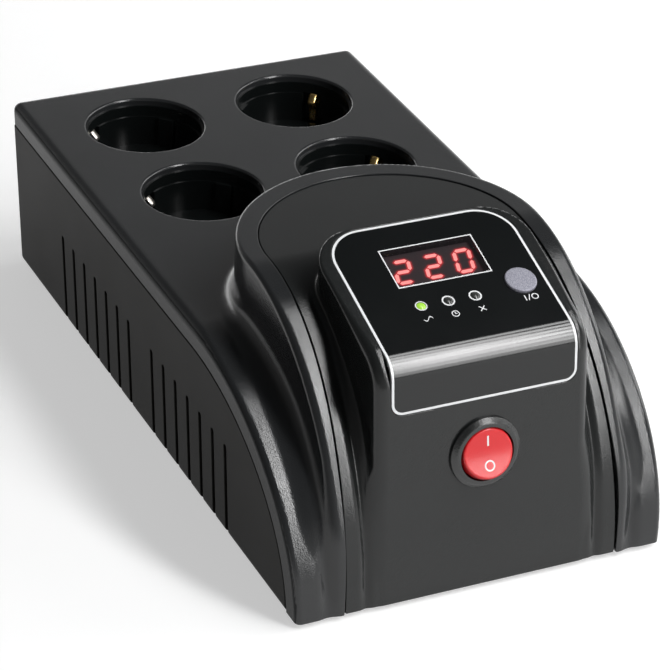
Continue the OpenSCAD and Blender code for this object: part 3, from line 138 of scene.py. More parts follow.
def beside(x, y, z, middle, reach, depth):
    """How far a skin is sunk beside a raised form on each side, from the shoulders down to the foot."""
    along = ramp(-y, 85, 118) * (0.4 + 0.6 * ramp(z, 0, 9))
    return depth * np.exp(-((np.abs(x) - middle) / reach) ** 2) * along


def cover_solid(x, y, z):
    hollow = (4.5 + 5.0 * ramp(-y, 20, 90)) * at_foot(z)
    deck = deck_solid(x, y, z) + beside(x, y, z, HOOD_HALF + 2.2, reach=2.2, depth=1.3)
    return round_either(deck, hood_solid(x, y, z), hollow)


def console_solid(x, y, z):
    top = (z - CONSOLE_H - (y - CONSOLE_Y) * math.tan(TILT)) * math.cos(TILT)
    face = (FRONT_Y + z * math.tan(FRONT_LEAN) - y) * math.cos(FRONT_LEAN)
    shell = round_both(top, face, CONSOLE_BEND)
    t = ramp(-y, 95, 126)
    dx = np.abs(x) - CONSOLE_HALF - CONSOLE_FLARE * t * ramp(80 - z, 0, 80)
    dy = y - CONSOLE_Y
    walls = round_both(dx, dy, CONSOLE_CORNER)
    edge = 0.9 + 2.2 * ramp(-y, 80, 112) + 1.6 * ramp(-y, 112, 122)
    return round_both(shell, walls, edge)


def panel_solid(x, y, z):
    skin = profile(y, z, HOOD_Y, HOOD_RUN - PANEL_SUNK, HOOD_H - PANEL_SUNK)
    skin = skin + beside(x, y, z, CONSOLE_HALF + 3.6, reach=1.5, depth=1.1)
    hollow = (2.2 + 2.2 * ramp(-y, 70, 124)) * at_foot(z)
    return round_either(skin, console_solid(x, y, z), hollow)


def gradient(field, p, e=0.04):
    x, y, z = p.T
    return np.stack([
        field(x + e, y, z) - field(x - e, y, z),
        field(x, y + e, z) - field(x, y - e, z),
        field(x, y, z + e) - field(x, y, z - e)], 1) / (2 * e)


def onto(field, p, rounds=3):
    """Points moved onto a field's surface."""
    for _ in range(rounds):
        g = gradient(field, p)
        p = p - (field(*p.T) / np.maximum((g * g).sum(1), 1e-6))[:, None] * g
    return p


def onto_both(field, cut, p, rounds=5):
    for _ in range(rounds):
        p = onto(cut, onto(field, p, 1), 1)
    return onto(field, p, 1)


def unit_rows(v):
    return v / np.maximum(np.linalg.norm(v, axis=1), 1e-12)[:, None]


def surface(field, low, high, step):
    """Triangles of a field's surface: one vertex in each cell that it crosses, moved onto the field."""
    axes = [np.arange(a, b + step, step) for a, b in zip(low, high)]
    value = field(axes[0][:, None, None], axes[1][None, :, None], axes[2][None, None, :])
    inside = value < 0
    nx, ny, nz = [n - 1 for n in inside.shape]
    count = np.zeros((nx, ny, nz), np.int8)
    for i, j, k in np.ndindex(2, 2, 2):
        count += inside[i:nx + i, j:ny + j, k:nz + k]
    active = (count > 0) & (count < 8)
    cells = np.argwhere(active)
    ids = np.full(active.shape, -1, np.int64)
    ids[active] = np.arange(len(cells))
    total = np.zeros((len(cells), 3))
    hits = np.zeros(len(cells))
    units = np.eye(3, dtype=int)
    for axis, step_to in enumerate(units):
        for start in np.ndindex(2, 2):
            corner = np.insert(start, axis, 0)
            a = value[tuple((cells + corner).T)]
            b = value[tuple((cells + corner + step_to).T)]
            crossed = (a < 0) != (b < 0)
            t = np.where(crossed, a / np.where(crossed, a - b, 1), 0)
            total[crossed] += corner + t[crossed, None] * step_to
            hits[crossed] += 1
    points = np.asarray(low, float) + step * (cells + total / hits[:, None])
    quads = []
    for axis in range(3):
        u, v = np.delete(units, axis, 0)
        cut = [slice(1, -1)] * 3
        cut_a, cut_b = list(cut), list(cut)
        cut_a[axis], cut_b[axis] = slice(0, -1), slice(1, None)
        at = np.argwhere(inside[tuple(cut_a)] != inside[tuple(cut_b)]) + u + v
        quads.append(np.stack([ids[tuple((at - s).T)] for s in (u + v, v, 0 * u, u)], 1))
    quads = np.concatenate(quads)
    quads = quads[(quads >= 0).all(1)]
    points = onto(field, points)
    tris = np.concatenate([quads[:, [0, 1, 2]], quads[:, [0, 2, 3]]])
    return points, facing(points, tris, gradient(field, points))


def facing(points, tris, normals):
    a, b, c = points[tris[:, 0]], points[tris[:, 1]], points[tris[:, 2]]
    wrong = (np.cross(b - a, c - a) * normals[tris].sum(1)).sum(1) < 0
    tris = tris.copy()
    tris[wrong] = tris[wrong][:, ::-1]
    return tris


def trimmed(field, low, high, step, cuts):
    """Mesh of a field's surface within a box, with every cut taken from it."""
    points, tris = surface(field, low, high, step)
    for cut in cuts:
        points, tris = trim(points, tris, field, cut)
    mesh = Mesh()
    mesh.add(points, tris, gradient(field, points))
    return mesh


def compact(tris):
    """The points that triangles use, and the triangles numbered by them."""
    used, tris = np.unique(tris, return_inverse=True)
    return used, tris.reshape(-1, 3)


def trim(points, tris, field, cut):
    """The part of a surface where cut is positive, with its new edge exactly on cut = 0."""
    value = cut(*points.T)
    keep = value >= 0
    count = keep[tris].sum(1)
    crossed = (count == 1) | (count == 2)
    part, single = tris[crossed], count[crossed] == 1
    # Each crossed triangle is turned to start at the corner that is alone on its side
    lone = np.argmax(keep[part] == single[:, None], 1)
    a, b, c = np.take_along_axis(part, (lone[:, None] + np.arange(3)) % 3, 1).T
    pairs = np.stack([np.append(a, a), np.append(b, c)], 1)
    keys, inverse = np.unique(np.sort(pairs, 1), axis=0, return_inverse=True)
    va, vb = value[keys].T
    t = (va / (va - vb))[:, None]
    fresh = onto_both(field, cut, points[keys[:, 0]] * (1 - t) + points[keys[:, 1]] * t)
    ab, ac = len(points) + inverse.reshape(2, -1)
    used, tris = compact(np.concatenate([
        tris[count == 3],
        np.stack([a, ab, ac], 1)[single],
        np.stack([ab, b, c], 1)[~single],
        np.stack([ab, c, ac], 1)[~single],
    ]))
    return np.concatenate([points, fresh])[used], tris


class Mesh:
    """Points, faces and normals gathered for one object."""

    def __init__(self):
        self.points, self.normals, self.faces, self.count = [], [], [], 0

    def add(self, points, faces, normals):
        self.points.append(np.asarray(points, float))
        self.normals.append(unit_rows(np.asarray(normals, float)))
        self.faces += [tuple(int(i) + self.count for i in f) for f in faces]
        self.count += len(points)

    def rows(self, rows, normals, closed=False):
        """A grid of quads from rows of points; closed joins each row's ends."""
        rows = np.asarray(rows, float)
        normals = np.broadcast_to(np.asarray(normals, float), rows.shape)
        n, m = rows.shape[:2]
        wrap = m if closed else m - 1
        i, j = np.meshgrid(np.arange(n - 1), np.arange(wrap), indexing="ij")
        i, j = i.ravel(), j.ravel()
        k = (j + 1) % m
        quads = np.stack([i * m + j, i * m + k, (i + 1) * m + k, (i + 1) * m + j], 1)
        p, q = rows.reshape(-1, 3), normals.reshape(-1, 3)
        a, b, c, d = p[quads].transpose(1, 0, 2)
        wrong = (np.cross(c - a, d - b) * q[quads].sum(1)).sum(1) < 0
        quads[wrong] = quads[wrong][:, ::-1]
        self.add(p, quads, q)

    def build(self, name, slot, material=None, body="housing", stands_for=()):
        """The object on its body, with its slot and the nodes that it stands for."""
        mesh = bpy.data.meshes.new(name)
        points = place(np.concatenate(self.points))
        mesh.from_pydata(points.tolist(), [], self.faces)
        mesh.shade_smooth()
        mesh.normals_split_custom_set_from_vertices(np.concatenate(self.normals).tolist())
        mesh.materials.append(material or MATERIALS[slot])
        obj = bpy.data.objects.new(name, mesh)
        bpy.context.scene.collection.objects.link(obj)
        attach(obj, body)
        if stands_for:
            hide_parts(*stands_for)
        return obj


def rolled_edge(mesh, edge, normals, toward, radius, depth, closed=False, steps=4):
    """A quarter round along an edge and a wall down from it, towards a gap."""
    rows, row_normals = [], []
    middle = edge - radius * normals
    for i in range(steps + 1):
        a = math.pi / 2 * i / steps
        n = normals * math.cos(a) + toward * math.sin(a)
        rows.append(middle + radius * n)
        row_normals.append(n)
    rows.append(rows[-1].copy())
    row_normals.append(toward)
    rows.append(rows[-1] - depth * normals)
    row_normals.append(toward)
    mesh.rows(rows, row_normals, closed)


angles = np.linspace(0, 2 * math.pi, 120, endpoint=False)
RING = np.stack([np.cos(angles), np.sin(angles), 0 * angles], 1)


def rolled_mouth(mesh, middle, r, up, radius, depth, steps=4, half=0.0):
    """Rolled edge round a hole of radius r, or round a slot with that half length along y."""
    edge = np.array(middle) + r * RING + np.where(RING[:, 1:2] > 0, half, -half) * [[0, 1, 0]]
    rolled_edge(mesh, edge, up, -RING, radius, depth, closed=True, steps=steps)


def seam_edge(mesh, field, cut, points, radius, depth):
    """Rolled edge along points near where a cut ends a field's surface."""
    points = onto_both(field, cut, points)
    normals = unit_rows(gradient(field, points))
    toward = -gradient(cut, points)
    toward = unit_rows(toward - (toward * normals).sum(1)[:, None] * normals)
    rolled_edge(mesh, points, normals, toward, radius, depth)


# Materials

def add_node(tree, kind, values=None, sources=None, **settings):
    """New shader node with its settings, its inputs' values and the outputs that feed its inputs."""
    node = tree.nodes.new("ShaderNode" + kind)
    for key, value in settings.items():
        setattr(node, key, value)
    for socket, value in (values or {}).items():
        node.inputs[socket].default_value = value
    for socket, source in (sources or {}).items():
        tree.links.new(source, node.inputs[socket])
    return node


def add_ramp(tree, source, stops):
    """Colour ramp fed by a source, with the positions and colours of its stops."""
    ramp = add_node(tree, "ValToRGB", sources={"Fac": source})
    elements = ramp.color_ramp.elements
    for element, (position, colour) in zip(elements, (stops[0], stops[-1])):
        element.color = (*colour, 1)
        element.position = position
    for position, colour in stops[1:-1]:
        elements.new(position).color = (*colour, 1)
    return ramp.outputs["Color"]


class Look:
    """A material built round its Principled shader, in the object's own coordinates."""

    def __init__(self, name, values=None):
        self.material = bpy.data.materials.new(name)
        self.material.use_nodes = True
        self.tree = self.material.node_tree
        self.shader = self.tree.nodes["Principled BSDF"]
        for socket, value in (values or {}).items():
            self.shader.inputs[socket].default_value = value

    def feed(self, source, socket):
        self.tree.links.new(source, self.shader.inputs[socket])

    def coords(self):
        return add_node(self.tree, "TexCoord").outputs["Object"]

    def noise(self, scale, detail):
        values = {"Scale": scale, "Detail": detail}
        return add_node(self.tree, "TexNoise", values, {"Vector": self.coords()}).outputs["Fac"]

    def mottle(self, fac, colour, spread, socket="Base Color", most=math.inf):
        """Colour that drifts between a darker and a lighter shade of one colour."""
        low, high = [(*[min(c * share, most) for c in colour], 1) for share in (1 - spread, 1 + spread)]
        mix = add_node(self.tree, "MixRGB", {"Color1": low, "Color2": high}, {"Fac": fac})
        self.feed(mix.outputs["Color"], socket)

    def gloss(self, fac, low, high):
        between = add_node(self.tree, "MapRange", {"To Min": low, "To Max": high}, {"Value": fac})
        self.feed(between.outputs["Result"], "Roughness")

    def grain(self, height, strength, distance):
        """Bump of a strength, from a height whose full range is a distance in millimetres."""
        values = {"Strength": strength, "Distance": distance * MM}
        self.feed(add_node(self.tree, "Bump", values, {"Height": height}).outputs["Normal"], "Normal")


def moulded(name, colour, rough, grain=0.6, grain_size=2600, spread=0.10, specular=0.5, depth=0.02):
    """Moulded plastic or rubber: fine spark texture, and a slow drift of shade and gloss."""
    look = Look(name, {"Specular IOR Level": specular})
    look.grain(look.noise(grain_size, 2), grain, depth)
    slow = look.noise(45, 5)
    look.mottle(slow, colour, spread)
    look.gloss(slow, rough - 0.04, rough + 0.04)
    return look.material


def metal(name, colour, rough, streak=(1, 1, 1)):
    """Metal with fine rolled or brushed streaks along one axis and a drift of tarnish."""
    look = Look(name, {"Metallic": 1.0})
    stretch = add_node(look.tree, "Mapping", {"Scale": streak}, {"Vector": look.coords()})
    sources = {"Vector": stretch.outputs["Vector"]}
    lines = add_node(look.tree, "TexNoise", {"Scale": 900}, sources).outputs["Fac"]
    look.grain(lines, 0.25, 0.02)
    look.mottle(look.noise(120, 4), colour, 0.12)
    look.gloss(lines, rough - 0.05, rough + 0.08)
    return look.material


def lit(name, colour, glow, strength):
    """Lamp or digit that shines: brightest where its fine cells are."""
    look = Look(name, {"Roughness": 0.2, "Emission Strength": strength})
    cells = look.noise(1500, 2)
    look.mottle(cells, colour, 0.15)
    look.mottle(cells, glow, 0.15, "Emission Color", 1.0)
    return look.material


def circuit_board(name):
    """Green lacquer over a faint pattern of tracks, with copper showing as lighter cells."""
    look = Look(name, {"Roughness": 0.3})
    sources = {"Vector": look.coords()}
    cells = add_node(look.tree, "TexVoronoi", {"Scale": 260}, sources, distance="CHEBYCHEV")
    tracks = cells.outputs["Distance"]
    lacquer = [(0.35, (0.015, 0.10, 0.03)), (0.42, (0.03, 0.19, 0.06))]
    look.feed(add_ramp(look.tree, tracks, lacquer), "Base Color")
    look.grain(tracks, 0.3, 0.03)
    return look.material


def layered(name, colour, rough, metallic, axis, bands, spread, grain, depth):
    """Level turns of enamelled wire, or the edges of thin sheets stacked along an axis."""
    look = Look(name, {"Roughness": rough, "Metallic": metallic})
    sources = {"Vector": look.coords()}
    layers = add_node(look.tree, "TexWave", bands, sources, bands_direction=axis).outputs["Fac"]
    look.mottle(layers, colour, spread)
    look.grain(layers, grain, depth)
    return look.material


def smoked(name):
    """Dark tinted window that the digits show through."""
    look = Look(name, {"Roughness": 0.08, "IOR": 1.6, "Alpha": 0.42})
    look.mottle(look.noise(60, 3), (0.018, 0.014, 0.016), 0.2)
    return look.material


def speckled(name):
    """Silvery print with bright flakes in it."""
    look = Look(name, {"Roughness": 0.45, "Metallic": 0.2})
    flakes = look.noise(4200, 1)
    print_and_flake = [(0.42, (0.20, 0.20, 0.245)), (0.62, (0.40, 0.40, 0.46))]
    look.feed(add_ramp(look.tree, flakes, print_and_flake), "Base Color")
    look.grain(flakes, 0.4, 0.03)
    return look.material


def halo(name):
    """Module's face behind the digits, lit red by them where its glow attribute is high."""
    look = Look(name, {"Roughness": 0.5, "Emission Strength": 0.9})
    look.mottle(look.noise(900, 2), (0.03, 0.024, 0.028), 0.15)
    near = add_node(look.tree, "Attribute", attribute_name="glow")
    colours = {"Color1": (0, 0, 0, 1), "Color2": (1.0, 0.02, 0.03, 1)}
    mix = add_node(look.tree, "MixRGB", colours, {"Fac": near.outputs["Fac"]})
    look.feed(mix.outputs["Color"], "Emission Color")
    return look.material


# Each slot's maker and what it takes, in order. Moulded takes a colour, a roughness, the strength and
# scale of its grain, the spread of its shade, the specular level and the grain's depth in millimetres.
RECIPES = {
    "cover_plastic": (moulded, (0.018, 0.019, 0.020), 0.14, 1.0, 2400, 0.10, 0.5, 0.05),
    "tray_plastic": (moulded, (0.017, 0.0165, 0.015), 0.40, 1.0, 2200, 0.10, 0.045, 0.05),
    "panel_plastic": (moulded, (0.013, 0.014, 0.014), 0.15, 1.0, 2200, 0.10, 0.42, 0.05),
    "feet_rubber": (moulded, (0.02, 0.02, 0.02), 0.8, 1.0, 1500, 0.2, 0.3),
    "steel": (metal, (0.55, 0.55, 0.57), 0.32, (1, 1, 6)),
    "label_gloss": (moulded, (0.0030, 0.0038, 0.0040), 0.14, 0.02, 3000, 0.05),
    "module_black": (moulded, (0.02, 0.02, 0.02), 0.5),
    "digit_red": (lit, (0.8, 0.2, 0.2), (1.0, 0.30, 0.28), 1.6),
    "lamp_green": (lit, (0.25, 0.5, 0.05), (0.32, 0.58, 0.05), 0.5),
    "lamp_clear": (moulded, (0.03, 0.032, 0.03), 0.15, 0.1, 2000, 0.2, 0.6),
    "button_grey": (speckled,),
    "board_green": (circuit_board,),
    "switch_black": (moulded, (0.010, 0.011, 0.011), 0.27, 1.0, 2200, 0.10, 0.7, 0.09),
    "rocker_red": (moulded, (0.65, 0.010, 0.014), 0.26, 1.0, 2400, 0.06, 0.6, 0.05),
    "brass": (metal, (0.80, 0.56, 0.24), 0.22, (1, 1, 3)),
    "outlet_black": (moulded, (0.004, 0.005, 0.005), 0.22, 0.15, 2000),
    "core_steel": (layered, (0.16, 0.165, 0.18), 0.45, 0.8, "Y", {"Scale": 320}, 0.3, 0.7, 0.2),
    "bobbin_white": (moulded, (0.62, 0.58, 0.48), 0.5, 0.3, 1500, 0.05),
    "copper": (layered, (0.46, 0.16, 0.05), 0.3, 0.7, "Z",
               {"Scale": 380, "Distortion": 0.6}, 0.35, 0.9, 0.3),
    "relay_blue": (moulded, (0.02, 0.07, 0.22), 0.35),
    "capacitor_sleeve": (moulded, (0.015, 0.015, 0.05), 0.25, 0.2),
    "aluminium": (metal, (0.72, 0.73, 0.75), 0.35, (1, 6, 1)),
    "ribbon_grey": (moulded, (0.42, 0.42, 0.44), 0.5, 0.5, 1200),
    "wire_brown": (moulded, (0.16, 0.07, 0.03), 0.4, 0.3, 1200),
    "reset_red": (moulded, (0.45, 0.012, 0.010), 0.3, 0.3),
}
MATERIALS = {slot: make(slot, *values) for slot, (make, *values) in RECIPES.items()}
MATERIALS["lens_red"] = smoked("lens_smoked")
# The cover's steep outer sides take a copy of its material with less sheen
cover_side = moulded("cover_side", (0.018, 0.019, 0.020), 0.14, 1.0, 2400, 0.10, 0.09, 0.05)
ink = moulded("ink_white", (0.78, 0.79, 0.80), 0.35, 0.2, 3000, 0.03)
# Painted highlight: the left clips get a whitish copy of the clips' brass, standing in for the stronger
# white glint they catch; gilt is the brass itself
left_clip_painted_glint = metal("left_clip_painted_glint", (0.62, 0.59, 0.54), 0.30)
gilt = metal("gilt", (0.95, 0.66, 0.26), 0.26)

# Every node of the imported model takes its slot's material; small eased edges catch the light
EASED = {
    "power_inlet": 0.5, "breaker_nut": 0.3, "rubber_feet": 0.6, "inlet_screws": 0.4,
    "breaker_button": 0.5, "inlet_pins": 0.3, "cover_screws": 0.4, "panel_screws": 0.4,
}
for part in frame["record"]["subparts"]:
    node = frame["nodes"][part["node"]]
    for place_in in node.material_slots:
        place_in.material = MATERIALS[part["material_slot"]]
    if part["node"] in EASED:
        weld = node.modifiers.new("weld", "WELD")
        weld.merge_threshold = 0.002 * MM
        bevel = node.modifiers.new("bevel", "BEVEL")
        bevel.width = EASED[part["node"]] * MM
        bevel.segments = 3
        bevel.limit_method = "ANGLE"
        bevel.angle_limit = math.radians(40)
        bevel.harden_normals = True

# Curved lines turned round an axis

def eased(corners, radii, steps=5):
    """Points and normals along a line whose corners are rounded: rows of radius and height."""
    rows, normals = [], []
    corners = [np.array(c, float) for c in corners]
    last = len(corners) - 1
    for i, here in enumerate(corners):
        before = unit(here - corners[i - 1]) if i else None
        after = unit(corners[i + 1] - here) if i < last else None
        n_in = left_of(before) if i else left_of(after)
        n_out = left_of(after) if i < last else n_in
        r = radii[i]
        if r == 0 or i in (0, last):
            rows += [here, here]
            normals += [n_in, n_out]
            continue
        half = math.acos(float(np.clip(-before @ after, -1, 1))) / 2
        middle = here + unit(after - before) * r / math.sin(half)
        sign = 1 if (here - middle) @ (n_in + n_out) > 0 else -1
        turn = math.atan2(n_in[0] * n_out[1] - n_in[1] * n_out[0], n_in @ n_out)
        for k in range(steps + 1):
            c, s = math.cos(turn * k / steps), math.sin(turn * k / steps)
            n = np.array([c * n_in[0] - s * n_in[1], s * n_in[0] + c * n_in[1]])
            rows.append(middle + sign * r * n)
            normals.append(n)
    return np.array(rows), np.array(normals)


def unit(v):
    return v / np.linalg.norm(v)


def left_of(direction):
    return np.array([-direction[1], direction[0]])


def turned(mesh, line, normals, origin, axes, count=96):
    """A line of radius and height turned round a frame's third axis."""
    a = np.linspace(0, 2 * math.pi, count, endpoint=False)
    out = np.cos(a)[:, None] * axes[0] + np.sin(a)[:, None] * axes[1]
    rows = [origin + r * out + h * axes[2] for r, h in line]
    facing_out = [nr * out + nh * axes[2] for nr, nh in normals]
    mesh.rows(rows, facing_out, closed=True)


# Console, along its bent profile: x across, s down the slope and the front from the middle of the bend

CORNER_Z = (CONSOLE_H - CONSOLE_L * math.tan(TILT)) / (1 - math.tan(FRONT_LEAN) * math.tan(TILT))
CORNER_Y = FRONT_Y + CORNER_Z * math.tan(FRONT_LEAN)
BEND_TURN = math.pi / 2 - TILT - FRONT_LEAN
BEND_HALF = CONSOLE_BEND * BEND_TURN / 2
BEND_RUN = CONSOLE_BEND * math.tan(BEND_TURN / 2)
TOP_L = (CONSOLE_Y - CORNER_Y) / math.cos(TILT)


def down_console(drop):
    """Place along the profile of a distance down the slope from the console's back edge."""
    return drop - TOP_L + BEND_RUN - BEND_HALF


def front_place(z):
    return (CORNER_Z - z) / math.cos(FRONT_LEAN) + BEND_HALF - BEND_RUN


def on_console(x, s, depth=0.0):
    """Points and normals on the console's skin, or at a depth under it."""
    x, s = np.broadcast_arrays(np.asarray(x, float), np.asarray(s, float))
    lean = TILT + np.clip(s / CONSOLE_BEND + BEND_TURN / 2, 0, BEND_TURN)
    first = np.array([CORNER_Y + BEND_RUN * math.cos(TILT), CORNER_Z + BEND_RUN * math.sin(TILT)])
    centre = first - CONSOLE_BEND * np.array([-math.sin(TILT), math.cos(TILT)])
    along = np.minimum(s + BEND_HALF, 0) + np.maximum(s - BEND_HALF, 0)
    radius = CONSOLE_BEND - depth
    y = centre[0] - radius * np.sin(lean) - along * np.cos(lean)
    z = centre[1] + radius * np.cos(lean) - along * np.sin(lean)
    return np.stack([x, y, z], -1), np.stack([0 * x, -np.sin(lean), np.cos(lean)], -1)


def console_place(y, z):
    """The place along the profile of points near the console's skin."""
    up = (y - CORNER_Y) * math.cos(TILT) + (z - CORNER_Z) * math.sin(TILT)
    down = -(y - CORNER_Y) * math.sin(FRONT_LEAN) - (z - CORNER_Z) * math.cos(FRONT_LEAN)
    return np.where(down > up, down + BEND_HALF - BEND_RUN, -up - BEND_HALF + BEND_RUN)


LABEL_HALF, LABEL_BACK_R, LABEL_FOOT_R, LABEL_FOOT_Z, LABEL_MARGIN = 31.5, 12.5, 4.0, 64.0, 1.4
LABEL_BACK = down_console(LABEL_MARGIN / math.cos(TILT))
LABEL_FOOT = front_place(LABEL_FOOT_Z)


def under_skin(y, z):
    """Distance from the nearer of the console's slope and front."""
    slope = (z - CORNER_Z) * math.cos(TILT) - (y - CORNER_Y) * math.sin(TILT)
    front = (y - CORNER_Y) * math.cos(FRONT_LEAN) - (z - CORNER_Z) * math.sin(FRONT_LEAN)
    return np.minimum(np.abs(slope), np.abs(front))


def label_edge(x, y, z):
    """Distance outside the label's outline, along the skin."""
    s = console_place(y, z)
    middle = (LABEL_BACK + LABEL_FOOT) / 2
    radius = np.where(s < middle, LABEL_BACK_R, LABEL_FOOT_R)
    qx = np.abs(x) - LABEL_HALF + radius
    qs = np.abs(s - middle) - (LABEL_FOOT - LABEL_BACK) / 2 + radius
    return np.hypot(np.maximum(qx, 0), np.maximum(qs, 0)) + np.minimum(np.maximum(qx, qs), 0) - radius


def rounded_loop(half, back, foot, back_r, foot_r, steps, spacing=2.0):
    """Closed outline in x and s with its corners rounded and its straight sides divided."""
    corners = [
        (-half + back_r, back + back_r, back_r, math.pi),
        (half - back_r, back + back_r, back_r, 1.5 * math.pi),
        (half - foot_r, foot - foot_r, foot_r, 0),
        (-half + foot_r, foot - foot_r, foot_r, 0.5 * math.pi),
    ]
    points = []
    for cx, cs, r, start in corners:
        for k in range(steps + 1):
            a = start + math.pi / 2 * k / steps
            points.append((cx + r * math.cos(a), cs + r * math.sin(a)))
    dense = []
    for a, b in zip(points, points[1:] + points[:1]):
        n = max(1, int(math.dist(a, b) / spacing))
        dense += [(a[0] + (b[0] - a[0]) * k / n, a[1] + (b[1] - a[1]) * k / n) for k in range(n)]
    return dense


def label_loop(grow, spacing=2.0):
    """The label's outline, grown on every side."""
    return rounded_loop(LABEL_HALF + grow, LABEL_BACK - grow, LABEL_FOOT + grow,
                        LABEL_BACK_R + grow, LABEL_FOOT_R + grow, 16, spacing)


def box_loop(x0, x1, s0, s1):
    return [(x0, s0), (x1, s0), (x1, s1), (x0, s1)]


def circle(cx, cs, r, count=40):
    return [(cx + r * math.cos(2 * math.pi * k / count), cs + r * math.sin(2 * math.pi * k / count))
            for k in range(count)]


def bar(x0, s0, x1, s1, width):
    """Straight stroke of a given width."""
    length = math.dist((x0, s0), (x1, s1))
    dx, ds = (x1 - x0) / length, (s1 - s0) / length
    ox, os = -ds * width / 2, dx * width / 2
    return [(x0 + ox, s0 + os), (x1 + ox, s1 + os), (x1 - ox, s1 - os), (x0 - ox, s0 - os)]


def within(loops, points):
    """Which points lie inside a group of loops, holes left out."""
    inside = np.zeros(len(points), bool)
    for loop in loops:
        a = np.array(loop)
        b = np.roll(a, -1, 0)
        x, s = points[:, 0:1], points[:, 1:2]
        spans = (a[:, 1] > s) != (b[:, 1] > s)
        rise = np.where(b[:, 1] == a[:, 1], 1, b[:, 1] - a[:, 1])
        crossing = a[:, 0] + (s - a[:, 1]) * (b[:, 0] - a[:, 0]) / rise
        inside ^= ((spans & (x < crossing)).sum(1) % 2).astype(bool)
    return inside


def tiled(loops, rows=()):
    """Triangles in x and s whose edges keep to the loops and rows."""
    points, edges = [], []
    for loop in loops:
        first = len(points)
        points += [Vector(p) for p in loop]
        edges += [(first + i, first + (i + 1) % len(loop)) for i in range(len(loop))]
    for a, b in rows:
        edges.append((len(points), len(points) + 1))
        points += [Vector(a), Vector(b)]
    out = delaunay_2d_cdt(points, edges, [], 0, 1e-6)
    return np.array([tuple(p) for p in out[0]]), np.array([tuple(f) for f in out[2]])


def skin_piece(name, slot, flat, tris, finish, depth=0.0, **settings):
    """Triangles in x and s laid on the console's skin; finish adds their edges to the mesh."""
    used, tris = compact(tris)
    points, normals = on_console(flat[used, 0], flat[used, 1], depth)
    mesh = Mesh()
    mesh.add(points, facing(points, tris, normals), normals)
    finish(mesh)
    mesh.build(name, slot, **settings)


def skin_edge(mesh, loop, radius, depth, outward, under=0.0):
    """Rolled edge along a loop on the console's skin."""
    loop = np.array(loop)
    points, normals = on_console(loop[:, 0], loop[:, 1], under)
    ahead = unit_rows(np.roll(points, -1, 0) - np.roll(points, 1, 0))
    toward = unit_rows(np.cross(ahead, normals))
    middle = points.mean(0)
    if ((points - middle) * toward).sum() * outward < 0:
        toward = -toward
    rolled_edge(mesh, points, normals, toward, radius, depth, closed=True, steps=3)


# Cover

ROLL, PANEL_ROLL, MOUTH_ROLL = 0.35, 0.25, 0.9
SEAM_WALL, RIM_WALL, MOUTH_WALL = 2.0, 3.0, 1.9
HALF_GAP, FOOT_Z, MOUTH_REACH = 0.22, 0.35, 8
# A curve down to the foot stops just short of it, where it would be upright
NEAR_FOOT = math.pi / 2 - 0.006


def seam_cut(y, z, rise):
    """Positive above the seam between the cover and the tray, raised by rise."""
    return profile(y, z, SHOULDER_Y, SHOULDER_RUN - LIP_H + rise, DECK_H - LIP_H + rise)


def panel_edge(x, y, z):
    return plan(x, y, PANEL_HALF, PANEL_BACK, FLARE)


def hole_cut(x, y, z):
    """Positive outside the outlets' rolled mouths."""
    reach = np.min([np.hypot(x - ox, y - oy) for ox, oy in OUTLETS], 0)
    return np.where(z > DECK_H - MOUTH_REACH, reach - MOUTH_R - MOUTH_ROLL, FAR)


def u_curve(grow):
    """The front panel's outline, grown by an amount, from its left foot round to its right foot."""
    t = np.linspace(NEAR_FOOT, 0, 70, endpoint=False)
    ys = HOOD_Y - HOOD_RUN * np.sin(t)
    xs = PANEL_HALF + grow + FLARE * ((HOOD_Y - ys) / HOOD_RUN) ** 2
    left = np.stack([-xs, ys, HOOD_H * np.cos(t)], 1)
    a = np.linspace(math.pi, 0, 160)
    arc_y = HOOD_Y + (PANEL_BACK + grow) * np.sin(a)
    arc = np.stack([(PANEL_HALF + grow) * np.cos(a), arc_y, np.full(160, HOOD_H)], 1)
    return np.concatenate([left, arc, left[::-1] * [-1, 1, 1]])


def seam_line(sign, rise):
    """Points along the seam of one side wall, from its foot in front to the back."""
    ahead = SHOULDER_Y - (SHOULDER_RUN - LIP_H) * np.sin(np.linspace(NEAR_FOOT, 0, 70))
    ys = np.concatenate([ahead, np.linspace(SHOULDER_Y, BACK_Y - 3.4, 60)[1:]])
    share = np.minimum(ys - SHOULDER_Y, 0) / (SHOULDER_RUN - LIP_H + rise)
    zs = (DECK_H - LIP_H + rise) * np.sqrt(np.clip(1 - share ** 2, 0, 1))
    return np.stack([sign * (BASE_HALF + LEAN * zs), ys, zs], 1)


def rear_line(rise):
    """Points along the seam across the rear wall."""
    xs = np.linspace(-62, 62, 60)
    return np.stack([xs, 0 * xs + BACK_Y, 0 * xs + DECK_H - LIP_H + rise], 1)


cuts = [
    lambda x, y, z: panel_edge(x, y, z) - HALF_GAP - PANEL_ROLL,
    lambda x, y, z: seam_cut(y, z, SEAM_GAP) - ROLL,
    lambda x, y, z: z - FOOT_Z,
    hole_cut,
]
cover = trimmed(cover_solid, (-70, -127.5, -2), (70, 128, 91), 0.8, cuts)
seam_edge(cover, cover_solid, cuts[0], u_curve(HALF_GAP + PANEL_ROLL), PANEL_ROLL, RIM_WALL)
seam_rise = SEAM_GAP + ROLL
for line in (seam_line(-1, seam_rise), seam_line(1, seam_rise), rear_line(seam_rise)):
    seam_edge(cover, cover_solid, cuts[1], line, ROLL, SEAM_WALL)
for ox, oy in OUTLETS:
    rolled_mouth(cover, (ox, oy, DECK_H), MOUTH_R + MOUTH_ROLL, UP, MOUTH_ROLL, MOUTH_WALL, 6)
shell = cover.build("top_cover_shell", "cover_plastic", stands_for=["top_cover"])
shell.data.materials.append(cover_side)
STEEP, OUTER_X = 0.80, 60.0
for face in shell.data.polygons:
    if abs(face.normal.x) > STEEP and abs(face.center.x) > OUTER_X * MM:
        face.material_index = 1

# Front panel

